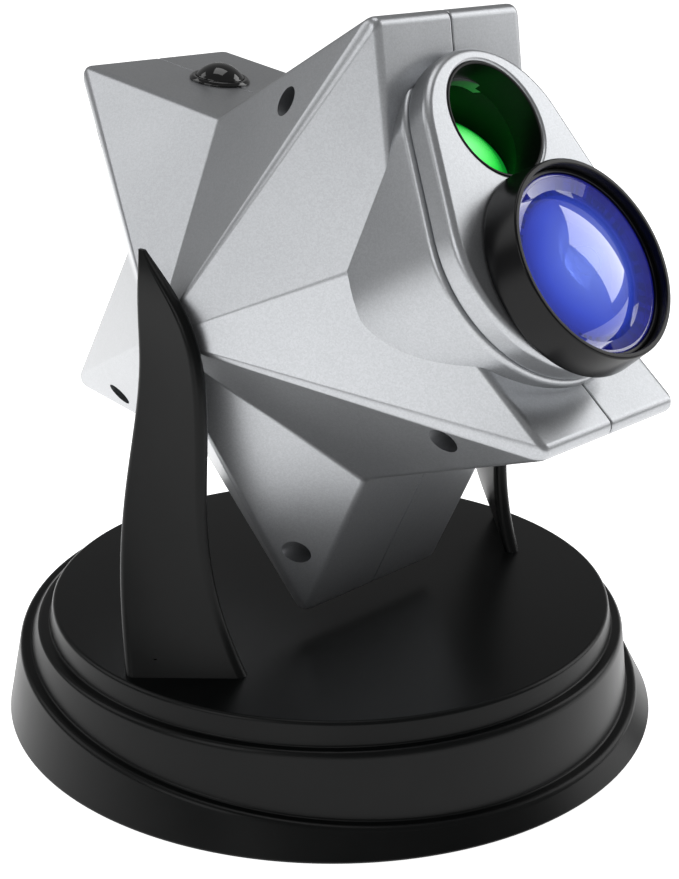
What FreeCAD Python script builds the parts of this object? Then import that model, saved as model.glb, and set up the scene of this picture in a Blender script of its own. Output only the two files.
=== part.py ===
"""Table-top star projector: a five-pointed pyramid head on a two-armed round base.

World frame: +Z up, origin at the centre of the base's underside, -Y is the front,
the tilt axis runs along X.  Every piece of the head is drawn in the head's own frame
(x = across, y = up the nose plate, z = out of the nose along the optical axis) and is
then placed on the pivot, turned to the nose's elevation.
"""
import FreeCAD, Part
import math
import os
import re
import Sketcher
from FreeCAD import Placement, Rotation, Vector

os.makedirs("parts", exist_ok=True)
doc = FreeCAD.newDocument("star_projector")

# ---------------------------------------------------------------- driving dimensions
SIZES = [
    # name, value (mm or degrees), meaning
    ("pivot_y", 1.7, "tilt axis, distance behind the base's centre"),
    ("pivot_height", 121.2, "tilt axis above the table"),
    ("nose_elevation", 33.7, "optical axis above the horizontal at rest"),
    # star outline, seen along the tilt axis: radius and angle up from the optical axis
    ("tip_top_radius", 91.0, "point above the nose"),
    ("tip_top_angle", 29.3, "point above the nose"),
    ("tip_button_radius", 94.5, "point that carries the button"),
    ("tip_button_angle", 108.0, "point that carries the button"),
    ("tip_back_radius", 91.7, "rear point"),
    ("tip_back_angle", 171.5, "rear point"),
    ("tip_bottom_radius", 86.0, "lowest point"),
    ("tip_bottom_angle", 247.9, "lowest point"),
    ("tip_chin_radius", 100.8, "point below the nose"),
    ("tip_chin_angle", 317.4, "point below the nose"),
    ("notch_nose_radius", 55.4, "valley that the nose fills"),
    ("notch_nose_angle", -8.1, "valley that the nose fills"),
    ("notch_top_radius", 52.3, "valley in front of the button"),
    ("notch_top_angle", 72.6, "valley in front of the button"),
    ("notch_back_radius", 55.4, "upper rear valley"),
    ("notch_back_angle", 138.5, "upper rear valley"),
    ("notch_under_radius", 51.8, "lower rear valley"),
    ("notch_under_angle", 210.5, "lower rear valley"),
    ("notch_bottom_radius", 54.7, "lower front valley"),
    ("notch_bottom_angle", 283.5, "lower front valley"),
    ("rim_half_width", 26.5, "half of the flat rim's width"),
    ("apex_reach", 62.4, "virtual apex of each pyramid from the mid-plane"),
    ("side_reach", 58.4, "flat that cuts the apex off, from the mid-plane"),
    ("shell_wall", 2.6, "moulded wall of the shells"),
    ("tip_inset", 5.0, "cavity stops short of each tip by this"),
    ("notch_inset", 3.0, "cavity stops short of each valley by this"),
    # nose
    ("plate_face", 78.5, "nose plate's face from the pivot"),
    ("plate_thickness", 7.0, "nose plate, front to back"),
    ("plate_edge_round", 2.0, "rounded front edge of the nose plate"),
    ("egg_top_height", 8.4, "centre of the plate's small end"),
    ("egg_top_radius", 25.2, "plate's small end"),
    ("egg_low_height", -19.5, "centre of the plate's big end"),
    ("egg_low_radius", 32.7, "plate's big end"),
    ("nose_step", 1.0, "nose housing stands proud of the plate by this"),
    ("nose_flare", 3.6, "extra outline at the nose housing's foot"),
    ("nose_foot", 44.0, "rear end of the nose housing from the pivot"),
    ("nose_wall", 2.5, "wall of the nose housing"),
    ("opening_inset", 5.5, "shell opening inside the plate's outline"),
    # big lens and focus ring
    ("lens_height", -27.6, "lens axis from the optical axis through the pivot"),
    ("ring_rear_radius", 27.0, "focus ring at the plate"),
    ("ring_front_radius", 25.6, "focus ring at its front rim"),
    ("ring_front", 88.6, "front rim of the focus ring from the pivot"),
    ("ring_bore", 24.4, "bore of the focus ring"),
    ("ring_gap", 0.3, "focus ring off the plate's face"),
    ("ring_floor", 0.7, "floor of the focus ring, in front of the plate"),
    ("collar_radius", 21.2, "collar that turns in the plate's recess"),
    ("collar_depth", 2.9, "collar behind the plate's face"),
    ("running_gap", 0.05, "radial clearance of turning and sliding fits"),
    ("cell_bore", 23.3, "bore of the lens cell's cup"),
    ("cell_sleeve_radius", 19.0, "sleeve of the lens cell"),
    ("cell_sleeve_wall", 1.4, "wall of the sleeve"),
    ("cell_rear", 56.0, "rear end of the sleeve from the pivot"),
    ("cell_cup_rear", 81.0, "rear face of the cup from the pivot"),
    ("cell_cup_front", 86.0, "front edge of the cup from the pivot"),
    ("cell_floor", 1.2, "floor of the cup"),
    ("lens_clear", 0.05, "lens inside its cup"),
    ("lens_rim_front", 85.4, "front edge of the lens from the pivot"),
    ("dome_radius", 19.8, "foot circle of the lens dome"),
    ("dome_foot", 83.2, "foot circle of the lens dome from the pivot"),
    ("dome_top", 88.6, "top of the lens dome from the pivot"),
    ("lens_back", 78.6, "rearmost point of the lens from the pivot"),
    # laser port
    ("port_height", 14.1, "laser port above the optical axis"),
    ("port_radius", 15.6, "laser port in the nose plate"),
    ("liner_wall", 0.8, "black liner of the port"),
    ("liner_set_back", 0.3, "liner behind the plate's face"),
    ("laser_pitch", 20.0, "laser recess tips up from the optical axis by this"),
    ("recess_depth", 9.0, "laser recess behind the nose wall"),
    ("recess_wall", 1.4, "wall of the laser recess"),
    ("recess_clear", 1.6, "shells clear of the laser recess"),
    ("window_edge", 1.6, "edge thickness of the green window"),
    ("window_rise", 3.6, "rise of the green window's dome"),
    # screws of the shells, as radius and angle about the tilt axis
    ("screw_top_radius", 60.6, "shell screw by the top point"),
    ("screw_top_angle", 40.0, "shell screw by the top point"),
    ("screw_button_radius", 72.0, "shell screw by the button"),
    ("screw_button_angle", 113.0, "shell screw by the button"),
    ("screw_back_radius", 64.3, "shell screw by the rear point"),
    ("screw_back_angle", 179.0, "shell screw by the rear point"),
    ("screw_bottom_radius", 65.3, "shell screw by the lowest point"),
    ("screw_bottom_angle", 253.8, "shell screw by the lowest point"),
    ("screw_chin_radius", 73.3, "shell screw by the chin point"),
    ("screw_chin_angle", 313.4, "shell screw by the chin point"),
    ("post_radius", 5.0, "screw post"),
    ("sink_radius", 3.4, "counterbore over each shell screw"),
    ("screw_radius", 1.5, "M3 self-tapping screw"),
    ("screw_clear", 0.15, "radial clearance around a screw"),
    ("screw_head_radius", 2.8, "pan head"),
    ("screw_head_height", 2.2, "pan head"),
    ("screw_seat", 12.0, "screw head's seat from the mid-plane"),
    ("screw_bite", 9.0, "screw's length past the mid-plane"),
    # pivot
    ("pin_radius", 4.2, "pivot pin moulded on each arm"),
    ("hub_radius", 8.0, "bearing hub inside each shell"),
    ("hub_depth", 9.0, "bearing hub's length"),
    ("washer_radius", 5.4, "friction washer on each pin"),
    ("pivot_screw_radius", 1.5, "screw up each pin"),
    ("retainer_radius", 6.6, "retaining washer inside the head"),
    ("retainer_thickness", 1.2, "retaining washer inside the head"),
    ("washer_thickness", 0.6, "friction washer on each pin"),
    ("arm_gap", 1.1, "arm's inner face off the head's flat side"),
    ("arm_thickness", 4.0, "blade of each arm beside the pivot"),
    ("shoulder_radius", 6.5, "shoulder around each pin"),
    ("arm_screw_spread", 8.0, "arm's screws from the middle of its foot"),
    ("arm_screw_shift", 0.6, "arm's screws off the blade's middle, the way the blade leans"),
    ("arm_screw_radius", 1.2, "screw up into each arm's foot"),
    # base
    ("base_radius", 95.2, "skirt at the table"),
    ("skirt_top_radius", 90.8, "skirt at the sloping ledge"),
    ("tier_foot_radius", 87.9, "middle tier at the sloping ledge"),
    ("tier_top_radius", 85.6, "middle tier at its top"),
    ("tier_height", 26.9, "top of the middle tier"),
    ("disc_foot_radius", 82.5, "top disc at its foot"),
    ("disc_top_radius", 81.2, "top disc at its edge"),
    ("base_height", 33.2, "top of the base"),
    ("ledge_centre_height", 16.1, "sloping ledge above the table, at the base's centre"),
    ("ledge_slope", 6.2, "slope of the ledge, up towards the back, in degrees"),
    ("base_wall", 3.0, "moulded wall of the base"),
    ("skirt_lift", 0.8, "skirt's edge above the table"),
    ("plate_radius", 87.0, "bottom plate"),
    ("bottom_plate_thickness", 2.0, "bottom plate"),
    ("pad_radius", 84.0, "non-slip pad under the bottom plate"),
    ("pad_thickness", 1.2, "non-slip pad, from the table to the bottom plate"),
    ("ballast_radius", 46.0, "steel ballast disc"),
    ("ballast_thickness", 8.0, "steel ballast disc"),
    ("boss_radius", 4.4, "screw boss under the base's top"),
    ("boss_circle", 58.0, "circle of the base screws"),
    # button, in the flat between the top valley and its point
    ("button_share", 0.49, "button's place from the top valley towards the point"),
    ("button_radius", 6.8, "button cap"),
    ("button_dome", 4.8, "top of the cap above the shell"),
    ("button_gap", 0.1, "radial clearance around the button cap"),
    ("button_travel", 0.9, "press of the button"),
    ("bezel_width", 0.9, "flange past the button's sleeve, all round"),
    ("bezel_flange", 1.2, "flange above the shell"),
    ("bezel_sleeve", 0.8, "wall of the button's sleeve"),
    ("bezel_depth", 6.0, "sleeve below the shell's surface"),
    ("stem_depth", 8.0, "lower end of the button's stem below the shell's surface"),
    ("switch_gap", 1.1, "stem above the switch's plunger"),
    ("switch_height", 4.3, "switch, board to plunger"),
    ("switch_board_half_width", 14.0, "board of the switch"),
    ("lug_grip", 1.6, "shell lugs reach over each board's edge by this"),
    ("lug_cheek", 2.0, "lug on each side of a board"),
    # power inlet, in the flat behind the button's point
    ("inlet_share", 0.62, "inlet's place from the button's point towards the rear valley"),
    ("inlet_bore", 2.8, "bore of the barrel socket"),
    ("inlet_mouth", 3.0, "depth of the full bore"),
    ("inlet_step", 0.15, "contact zone narrower than the bore, on the radius"),
    ("inlet_pin", 1.0, "centre pin of the barrel socket"),
    ("inlet_pin_depth", 4.6, "pin's tip below the mouth"),
    ("inlet_length", 12.0, "barrel socket"),
    ("inlet_collar", 4.6, "round collar of the socket"),
    # optics and drive inside the head
    ("frame_rear", 34.0, "rear face of the optics frame from the pivot"),
    ("frame_thickness", 2.0, "optics frame"),
    ("frame_half_width", 23.0, "optics frame"),
    ("frame_top", 42.0, "optics frame"),
    ("frame_bottom", -53.0, "optics frame"),
    ("beam_radius", 9.0, "light passage of the blue channel"),
    ("cloud_axle_height", -13.6, "axle of the cloud wheel"),
    ("star_axle_height", 23.1, "axle of the star wheel"),
    ("axle_radius", 1.5, "wheel axles"),
    ("bush_radius", 2.9, "bushes in the optics frame"),
    ("bush_length", 4.0, "bushes in the optics frame"),
    ("gear_module", 0.75, "module of the drive's teeth"),
    ("pinion_teeth", 12, "motor pinion"),
    ("star_teeth", 48, "toothed rim of the star wheel"),
    ("cloud_teeth", 60, "toothed rim of the cloud wheel"),
    ("star_wheel_rear", 37.6, "star wheel from the pivot"),
    ("cloud_wheel_rear", 41.6, "cloud wheel from the pivot"),
    ("wheel_thickness", 2.0, "both wheels"),
    ("motor_radius", 10.0, "geared motor's can"),
    ("motor_length", 22.0, "geared motor's can"),
    ("motor_shaft_radius", 1.0, "motor shaft"),
    ("laser_module_radius", 5.0, "laser module"),
    ("laser_module_length", 22.0, "laser module"),
    ("heat_sink_side", 24.0, "heat sink"),
    ("tube_bore", 9.6, "bore of the condenser's tube"),
    ("tube_wall", 1.2, "wall of the condenser's tube"),
    ("led_face", 9.6, "light-emitting diode's board from the pivot"),
    ("board_thickness", 1.6, "circuit boards"),
    ("main_board_rear", -22.0, "main board from the pivot"),
    ("main_board_half_width", 20.0, "main board"),
    ("main_board_half_height", 24.0, "main board"),
]

# Blade of each arm, from the foot up: share of the rise from the base to the pivot, lean
# outwards, middle behind the pivot, width, thickness, turn about the vertical.
ARM_STATIONS = {
    "foot": (0.0, 5.3, -14.2, 32.0, 4.6, 44.0),
    "shin": (0.305, 4.2, -6.0, 25.7, 4.2, 29.0),
    "waist": (0.645, 2.4, -5.8, 24.0, 4.0, 12.0),
    "collar": (0.93, 0.3, -5.6, 22.0, 4.0, 3.0),
    "neck": (1.11, -0.8, -0.4, 15.5, 3.6, 0.0),
    "horn": (1.20, -1.4, 4.4, 6.5, 2.6, 0.0),
    "point": (1.243, -1.8, 7.0, 2.4, 1.2, 0.0),
}
STATION_SIZES = ("rise", "lean", "back", "width", "thick", "turn")
for station, numbers in ARM_STATIONS.items():
    for size, number in zip(STATION_SIZES, numbers):
        SIZES.append(("%s_%s" % (station, size), number, "arm: %s at its %s" % (size, station)))

sheet = doc.addObject("Spreadsheet::Sheet", "sizes")
for row, (name, value, meaning) in enumerate(SIZES, start=1):
    sheet.set("A%d" % row, name)
    sheet.set("B%d" % row, str(value))
    sheet.set("C%d" % row, meaning)
    sheet.setAlias("B%d" % row, name)
doc.recompute()
NAMES = sorted((name for name, _, _ in SIZES), key=len, reverse=True)


def linked(expression):
    """Write an expression of plain size names as one that reads the sheet."""
    pattern = r"\b(" + "|".join(NAMES) + r")\b"
    return re.sub(pattern, r"sizes.\1", str(expression))


def value_of(expression):
    """Number that an expression of size names stands for now."""
    return float(sheet.evalExpression(linked(expression).replace("sizes.", "")))


def bind(thing, **properties):
    """Bind properties to expressions; a double underscore stands for a dot."""
    for key, expression in properties.items():
        thing.setExpression(key.replace("__", "."), linked(expression))
    return thing


HEAD_FRAME = {"Placement__Base__y": "pivot_y", "Placement__Base__z": "pivot_height",
              "Placement__Rotation__Angle": "90 - nose_elevation"}


def in_head(thing):
    """Place a finished piece of the head on the pivot, turned to the nose's elevation."""
    thing.Placement = Placement(Vector(0, 0, 0), Rotation(Vector(1, 0, 0), 45))
    return bind(thing, **HEAD_FRAME)


# ---------------------------------------------------------------- sketches
def pin_point(sketch, line, end, x, y):
    """Hold one end of a sketch line at (x, y), both written as expressions."""
    for kind, expression in (("DistanceX", x), ("DistanceY", y)):
        now = sketch.evalExpression(linked(expression))
        index = sketch.addConstraint(Sketcher.Constraint(kind, -1, 1, line, end, float(now)))
        sketch.setExpression("Constraints[%d]" % index, linked(expression))


def free_sketch(name, plane="XY", offset="0"):
    """Sketch of the Part workbench on a plane of the piece's frame, moved along its normal."""
    turns = {"XY": Rotation(), "YZ": Rotation(Vector(0, 1, 0), Vector(0, 0, 1), Vector(1, 0, 0))}
    sketch = doc.addObject("Sketcher::SketchObject", name)
    sketch.Placement = Placement(Vector(0, 0, 0), turns[plane])
    axis = {"XY": "z", "YZ": "x"}[plane]
    sketch.setExpression("Placement.Base." + axis, linked(offset))
    return sketch


def body_sketch(body, name, plane="XY", offset="0"):
    """Sketch on one of the body's own planes, moved along its normal."""
    role = plane + "_Plane"
    support = next(item for item in body.Origin.OriginFeatures if item.Role == role)
    sketch = body.newObject("Sketcher::SketchObject", name)
    sketch.AttachmentSupport = [(support, "")]
    sketch.MapMode = "FlatFace"
    sketch.setExpression("AttachmentOffset.Base.z", linked(offset))
    return sketch


def polygon(sketch, corners):
    """Closed outline through corners given as pairs of expressions."""
    here = [Vector(float(sketch.evalExpression(linked(x))), float(sketch.evalExpression(linked(y))), 0)
            for x, y in corners]
    count = len(corners)
    first = sketch.GeometryCount
    for i in range(count):
        sketch.addGeometry(Part.LineSegment(here[i], here[(i + 1) % count]), False)
    for i in range(count):
        sketch.addConstraint(Sketcher.Constraint("Coincident", first + i, 2, first + (i + 1) % count, 1))
    for i, (x, y) in enumerate(corners):
        pin_point(sketch, first + i, 1, x, y)
    return sketch


def circle(sketch, x, y, radius):
    """Circle held by its centre and radius."""
    centre = Vector(*(float(sketch.evalExpression(linked(v))) for v in (x, y)), 0)
    size = float(sketch.evalExpression(linked(radius)))
    index = sketch.addGeometry(Part.Circle(centre, Vector(0, 0, 1), size), False)
    pin_point(sketch, index, 3, x, y)
    held = sketch.addConstraint(Sketcher.Constraint("Radius", index, size))
    sketch.setExpression("Constraints[%d]" % held, linked(radius))
    return sketch


def egg(sketch, growth="0"):
    """Egg outline: two round ends joined by tangent sides; growth offsets it outwards."""
    top = value_of("egg_top_height")
    low = value_of("egg_low_height")
    small = value_of("egg_top_radius + (%s)" % growth)
    big = value_of("egg_low_radius + (%s)" % growth)
    lean = math.asin((big - small) / (top - low))
    ends = [Vector(math.cos(lean), math.sin(lean), 0), Vector(-math.cos(lean), math.sin(lean), 0)]
    upper = Part.Circle(Vector(0, top, 0), Vector(0, 0, 1), small)
    lower = Part.Circle(Vector(0, low, 0), Vector(0, 0, 1), big)
    base = sketch.GeometryCount
    sketch.addGeometry(Part.ArcOfCircle(upper, lean, math.pi - lean), False)
    sketch.addGeometry(Part.ArcOfCircle(lower, math.pi - lean, 2 * math.pi + lean), False)
    for side, end in enumerate(ends):
        start = Vector(0, top, 0) + end * small
        stop = Vector(0, low, 0) + end * big
        sketch.addGeometry(Part.LineSegment(start, stop), False)
        sketch.addConstraint(Sketcher.Constraint("Tangent", base, 1 + side, base + 2 + side, 1))
        sketch.addConstraint(Sketcher.Constraint("Tangent", base + 1, 2 - side, base + 2 + side, 2))
    for arc, height, radius in ((base, "egg_top_height", "egg_top_radius"),
                                (base + 1, "egg_low_height", "egg_low_radius")):
        pin_point(sketch, arc, 3, "0", height)
        size = value_of("%s + (%s)" % (radius, growth))
        held = sketch.addConstraint(Sketcher.Constraint("Radius", arc, size))
        sketch.setExpression("Constraints[%d]" % held, linked("%s + (%s)" % (radius, growth)))
    return sketch


def slot(sketch, length, thickness):
    """Blade section: a flat bar with round ends, centred on the sketch's origin."""
    long_now = value_of(length)
    thick_now = value_of(thickness)
    reach = long_now / 2 - thick_now / 2
    half = thick_now / 2
    for sign, start in ((1, -math.pi / 2), (-1, math.pi / 2)):
        ring = Part.Circle(Vector(0, sign * reach, 0), Vector(0, 0, 1), half)
        turn = start + math.pi / 2
        sketch.addGeometry(Part.ArcOfCircle(ring, turn, turn + math.pi), False)
    sketch.addGeometry(Part.LineSegment(Vector(-half, reach, 0), Vector(-half, -reach, 0)), False)
    sketch.addGeometry(Part.LineSegment(Vector(half, -reach, 0), Vector(half, reach, 0)), False)
    for arc, end, line, tip in ((0, 2, 2, 1), (1, 1, 2, 2), (1, 2, 3, 1), (0, 1, 3, 2)):
        sketch.addConstraint(Sketcher.Constraint("Tangent", arc, end, line, tip))
    offset = "(%s) / 2 - (%s) / 2" % (length, thickness)
    pin_point(sketch, 0, 3, "0", offset)
    pin_point(sketch, 1, 3, "0", "-(%s)" % offset)
    held = sketch.addConstraint(Sketcher.Constraint("Radius", 0, half))
    sketch.setExpression("Constraints[%d]" % held, linked("(%s) / 2" % thickness))
    return sketch


# ---------------------------------------------------------------- solids
def turned(label, profile, height="0", across="0"):
    """Round piece: pairs (radius, distance along the nose) turned about a line at a height."""
    body = doc.addObject("PartDesign::Body", label)
    sketch = body_sketch(body, label + "_profile", "YZ", across)
    polygon(sketch, [("(%s) + (%s)" % (height, r), z) for r, z in profile])
    axis = sketch.addGeometry(Part.LineSegment(Vector(value_of(height), 0, 0), Vector(value_of(height), 9, 0)), True)
    pin_point(sketch, axis, 1, height, "0")
    pin_point(sketch, axis, 2, height, "9")
    turn = body.newObject("PartDesign::Revolution", label + "_turn")
    turn.Profile = sketch
    turn.ReferenceAxis = (sketch, ["Axis0"])
    turn.Angle = 360
    return body


def block(label, x, y, z):
    """Rectangular piece between pairs of expressions along each axis."""
    box = doc.addObject("Part::Box", label)
    box.Placement = Placement(Vector(0, 0, 0), Rotation())
    bind(box, Length="(%s) - (%s)" % (x[1], x[0]), Width="(%s) - (%s)" % (y[1], y[0]),
         Height="(%s) - (%s)" % (z[1], z[0]), Placement__Base__x=x[0], Placement__Base__y=y[0],
         Placement__Base__z=z[0])
    return box


def rod(label, radius, low, high, x="0", y="0", axis="z"):
    """Cylinder along an axis between two stations; x and y are its other two places."""
    turns = {"z": Rotation(), "x": Rotation(Vector(0, 1, 0), 90)}
    solid = doc.addObject("Part::Cylinder", label)
    solid.Placement = Placement(Vector(0, 0, 0), turns[axis])
    bind(solid, Radius=radius, Height="(%s) - (%s)" % (high, low))
    places = {"z": (x, y, low), "x": (low, x, y)}[axis]
    for letter, place in zip("xyz", places):
        solid.setExpression("Placement.Base." + letter, linked(place))
    return solid


def cut(label, base, *tools):
    """Base less its tools."""
    result = doc.addObject("Part::Cut", label)
    result.Base = base
    result.Tool = tools[0] if len(tools) == 1 else fuse(label + "_tools", *tools)
    return result


def fuse(label, *parts):
    """Parts joined into one."""
    result = doc.addObject("Part::MultiFuse", label)
    result.Shapes = list(parts)
    return result


def extruded(label, sketch, direction, length):
    """Solid between a sketch and the same outline moved along a direction."""
    result = doc.addObject("Part::Extrusion", label)
    result.Base = sketch
    result.DirMode = "Custom"
    result.Dir = direction
    result.Solid = True
    bind(result, LengthFwd=length)
    return result


def lofted(label, sketches, ruled=True):
    """Solid through several outlines."""
    result = doc.addObject("Part::Loft", label)
    result.Sections = sketches
    result.Solid = True
    result.Ruled = ruled
    return result


def mirrored(label, source):
    """The same piece on the other side of the mid-plane."""
    result = doc.addObject("Part::Mirroring", label)
    result.Source = source
    result.Normal = Vector(1, 0, 0)
    return result


def group(label, shapes):
    """Several separate solids as one node."""
    result = doc.addObject("Part::Compound", label)
    result.Links = list(shapes)
    return result


# ---------------------------------------------------------------- star shells
CORNERS = ["tip_top", "notch_top", "tip_button", "notch_back", "tip_back", "notch_under",
           "tip_bottom", "notch_bottom", "tip_chin", "notch_nose"]


def star(sketch, scale="1", inset="0"):
    """Star outline (height, distance out of the nose) about the tilt axis."""
    corners = []
    for corner in CORNERS:
        kind = corner.split("_")[0]
        radius = "(%s_radius - %s_inset * (%s)) * (%s)" % (corner, kind, inset, scale)
        corners.append(("%s * sin(%s_angle)" % (radius, corner), "%s * cos(%s_angle)" % (radius, corner)))
    return polygon(sketch, corners)


def pyramid(label, rim, reach, apex, inset):
    """Left half of a star body: a flat rim, then faces that run to the apex, cut off at reach."""
    middle = star(free_sketch(label + "_middle", "YZ"), "1", inset)
    edge = star(free_sketch(label + "_edge", "YZ", "-(%s)" % rim), "1", inset)
    scale = "((%s) - (%s)) / ((%s) - (%s))" % (apex, reach, apex, rim)
    side = star(free_sketch(label + "_side", "YZ", "-(%s)" % reach), scale, inset)
    return fuse(label, lofted(label + "_rim", [middle, edge]), lofted(label + "_cone", [edge, side]))


SCREWS = ["screw_top", "screw_button", "screw_back", "screw_bottom", "screw_chin"]


def at_screws(label, radius, low, high):
    """One rod along the tilt axis at each shell screw."""
    rods = []
    for screw in SCREWS:
        up = "%s_radius * sin(%s_angle)" % (screw, screw)
        out = "%s_radius * cos(%s_angle)" % (screw, screw)
        rods.append(rod("%s_%s" % (label, screw), radius, low, high, up, out, "x"))
    return rods


star_outer = pyramid("star_outer", "rim_half_width", "side_reach", "apex_reach", "0")
star_inner = pyramid("star_inner", "rim_half_width - 1", "side_reach - shell_wall",
                     "apex_reach - 1.2 * shell_wall", "1")
posts = at_screws("post", "post_radius", "-apex_reach", "0")
hub = rod("hub", "hub_radius", "-side_reach", "-side_reach + hub_depth", "0", "0", "x")


def facet(first, second, share):
    """Place on the flat between two corners: height, distance out, and turn of its normal."""
    ends = []
    for corner in (first, second):
        ends.append(("%s_radius * sin(%s_angle)" % (corner, corner), "%s_radius * cos(%s_angle)" % (corner, corner)))
    (up_a, out_a), (up_b, out_b) = ends
    up = "(%s + (%s - %s) * %s)" % (up_a, up_b, up_a, share)
    out = "(%s + (%s - %s) * %s)" % (out_a, out_b, out_a, share)
    turn = "(0 - atan2(%s - %s; %s - %s) / 1 deg)" % (out_a, out_b, up_b, up_a)
    return up, out, turn


def in_facet(thing, place, in_head_frame=True):
    """Stand a piece drawn along Z on a flat of the star, its Z along the flat's normal."""
    up, out, turn = place
    thing.Placement = Placement(Vector(0, 0, 0), Rotation(Vector(1, 0, 0), 45))
    if not in_head_frame:
        return bind(thing, Placement__Base__y=up, Placement__Base__z=out, Placement__Rotation__Angle=turn + " + 360")
    tilt = "(90 - nose_elevation)"
    return bind(thing,
                Placement__Base__y="pivot_y + %s * cos%s - %s * sin%s" % (up, tilt, out, tilt),
                Placement__Base__z="pivot_height + %s * sin%s + %s * cos%s" % (up, tilt, out, tilt),
                Placement__Rotation__Angle="%s + %s + 360" % (turn, tilt))


BUTTON_PLACE = facet("notch_top", "tip_button", "button_share")
INLET_PLACE = facet("tip_button", "notch_back", "inlet_share")

FRAME_FRONT = "frame_rear + frame_thickness"
BOARD_FRONT = "main_board_rear + board_thickness"
SWITCH_TOP = "-stem_depth - switch_gap"
SWITCH_FOOT = SWITCH_TOP + " - switch_height"
# Lugs that hold a flat piece by its edge: name, height from and to, rear, front, half width.
LUG_ROWS = [("frame_low", "-24", "-6", "frame_rear", FRAME_FRONT, "frame_half_width"),
            ("frame_high", "30", "40", "frame_rear", FRAME_FRONT, "frame_half_width"),
            ("board", "-10", "10", "main_board_rear", BOARD_FRONT, "main_board_half_width"),
            ("switch", "-4", "4", SWITCH_FOOT + " - board_thickness", SWITCH_FOOT, "switch_board_half_width")]
lugs = []
lug_slots = []
for row, low, high, rear, front, half in LUG_ROWS:
    lug = block(row + "_lug", ("-side_reach", "-%s + lug_grip" % half), (low, high),
                (rear + " - lug_cheek", front + " + lug_cheek"))
    lug_slot = block(row + "_slot", ("-%s - 0.1" % half, "0"), (low + " - 1", high + " + 1"), (rear, front))
    if row == "switch":
        lug = in_facet(group("switch_lug_placed", [lug]), BUTTON_PLACE, False)
        lug_slot = in_facet(group("switch_slot_placed", [lug_slot]), BUTTON_PLACE, False)
    lugs.append(lug)
    lug_slots.append(lug_slot)
cavity = cut("cavity", star_inner, *posts, hub, *lugs)

opening = extruded("opening", egg(free_sketch("opening_outline", "XY", "nose_foot - 24"), "-opening_inset"),
                   Vector(0, 0, 1), "100")
plate_seat = extruded("plate_seat", egg(free_sketch("plate_seat_outline", "XY", "plate_face - plate_thickness - 0.1"),
                      "0.1"), Vector(0, 0, 1), "plate_thickness + 30")
lens_passage = rod("lens_passage", "cell_sleeve_radius + 0.6", FRAME_FRONT + " + 4", "plate_face + 20", "0", "lens_height")
port_passage = rod("port_passage", "port_radius - liner_wall + recess_wall + recess_clear", FRAME_FRONT + " + 4", "plate_face + 20", "0", "port_height")
button_hole = in_facet(group("button_hole", [rod("button_hole_rod",
                       "button_radius + button_gap + bezel_sleeve + 0.1", "-14", "9")]), BUTTON_PLACE, False)
inlet_hole = in_facet(group("inlet_hole", [rod("inlet_hole_rod", "inlet_collar + 0.1", "-10", "9")]),
                      INLET_PLACE, False)
shell_blank = cut("shell_blank", star_outer, cavity, opening, plate_seat, lens_passage, port_passage,
                  button_hole, inlet_hole, *lug_slots)
bearing = rod("bearing", "pin_radius + running_gap", "-apex_reach", "-side_reach + hub_depth + 1",
              "0", "0", "x")
sinks = at_screws("sink", "sink_radius", "-apex_reach", "-screw_seat")
passages = at_screws("passage", "screw_radius + screw_clear", "-apex_reach", "1")
left_shell = in_head(cut("left_shell_cut", shell_blank, bearing, *sinks, *passages))
pilots = at_screws("pilot", "screw_radius", "-screw_bite - 1", "1")
right_half = cut("right_half", shell_blank, rod("bearing_right", "pin_radius + running_gap", "-apex_reach",
                 "-side_reach + hub_depth + 1", "0", "0", "x"), *pilots)
right_shell = in_head(mirrored("right_shell_mirror", right_half))
heads = at_screws("head", "screw_head_radius", "-screw_seat - screw_head_height", "-screw_seat")
shanks = at_screws("shank", "screw_radius", "-screw_seat", "screw_bite")
shell_screws = in_head(group("shell_screw_group", [fuse("shell_screw_%d" % i, head, shank)
                       for i, (head, shank) in enumerate(zip(heads, shanks))]))

# ---------------------------------------------------------------- nose
PLATE_REAR = "plate_face - plate_thickness"
WALL_REAR = "plate_face - plate_thickness - nose_wall"


def egg_loft(label, low, high, low_growth, high_growth):
    """Solid between two egg outlines across the optical axis."""
    rear = egg(free_sketch(label + "_rear", "XY", low), low_growth)
    front = egg(free_sketch(label + "_front", "XY", high), high_growth)
    return lofted(label, [rear, front])


nose_block = egg_loft("nose_block", "nose_foot", PLATE_REAR, "nose_flare", "nose_step")
nose_hollow = egg_loft("nose_hollow", "nose_foot - 1", WALL_REAR, "nose_flare - nose_wall",
                       "nose_step - nose_wall")
star_right = mirrored("star_outer_right", star_outer)
nose_port = rod("nose_port", "port_radius", "nose_foot", "plate_face", "0", "port_height")
nose_bore = rod("nose_bore", "cell_sleeve_radius + running_gap", "nose_foot", "plate_face", "0", "lens_height")
nose_shell = cut("nose_shell", nose_block, nose_hollow, star_outer, star_right)
nose_housing = in_head(cut("nose_housing_cut", nose_shell, nose_port, nose_bore))

front_plate = doc.addObject("PartDesign::Body", "front_plate_body")
plate_outline = egg(body_sketch(front_plate, "plate_outline", "XY", PLATE_REAR))
plate_pad = front_plate.newObject("PartDesign::Pad", "plate_pad")
plate_pad.Profile = plate_outline
bind(plate_pad, Length="plate_thickness")
doc.recompute()
front_edges = ["Edge%d" % (i + 1) for i, edge in enumerate(plate_pad.Shape.Edges)
               if abs(edge.BoundBox.ZMin - value_of("plate_face")) < 1e-6
               and abs(edge.BoundBox.ZMax - value_of("plate_face")) < 1e-6]
plate_round = front_plate.newObject("PartDesign::Fillet", "plate_round")
plate_round.Base = (plate_pad, front_edges)
bind(plate_round, Radius="plate_edge_round")
HOLES = [("port", "port_radius", "port_height", "plate_thickness"),
         ("bore", "cell_sleeve_radius + running_gap", "lens_height", "plate_thickness"),
         ("recess", "collar_radius + running_gap", "lens_height", "collar_depth + 0.1")]
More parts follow.
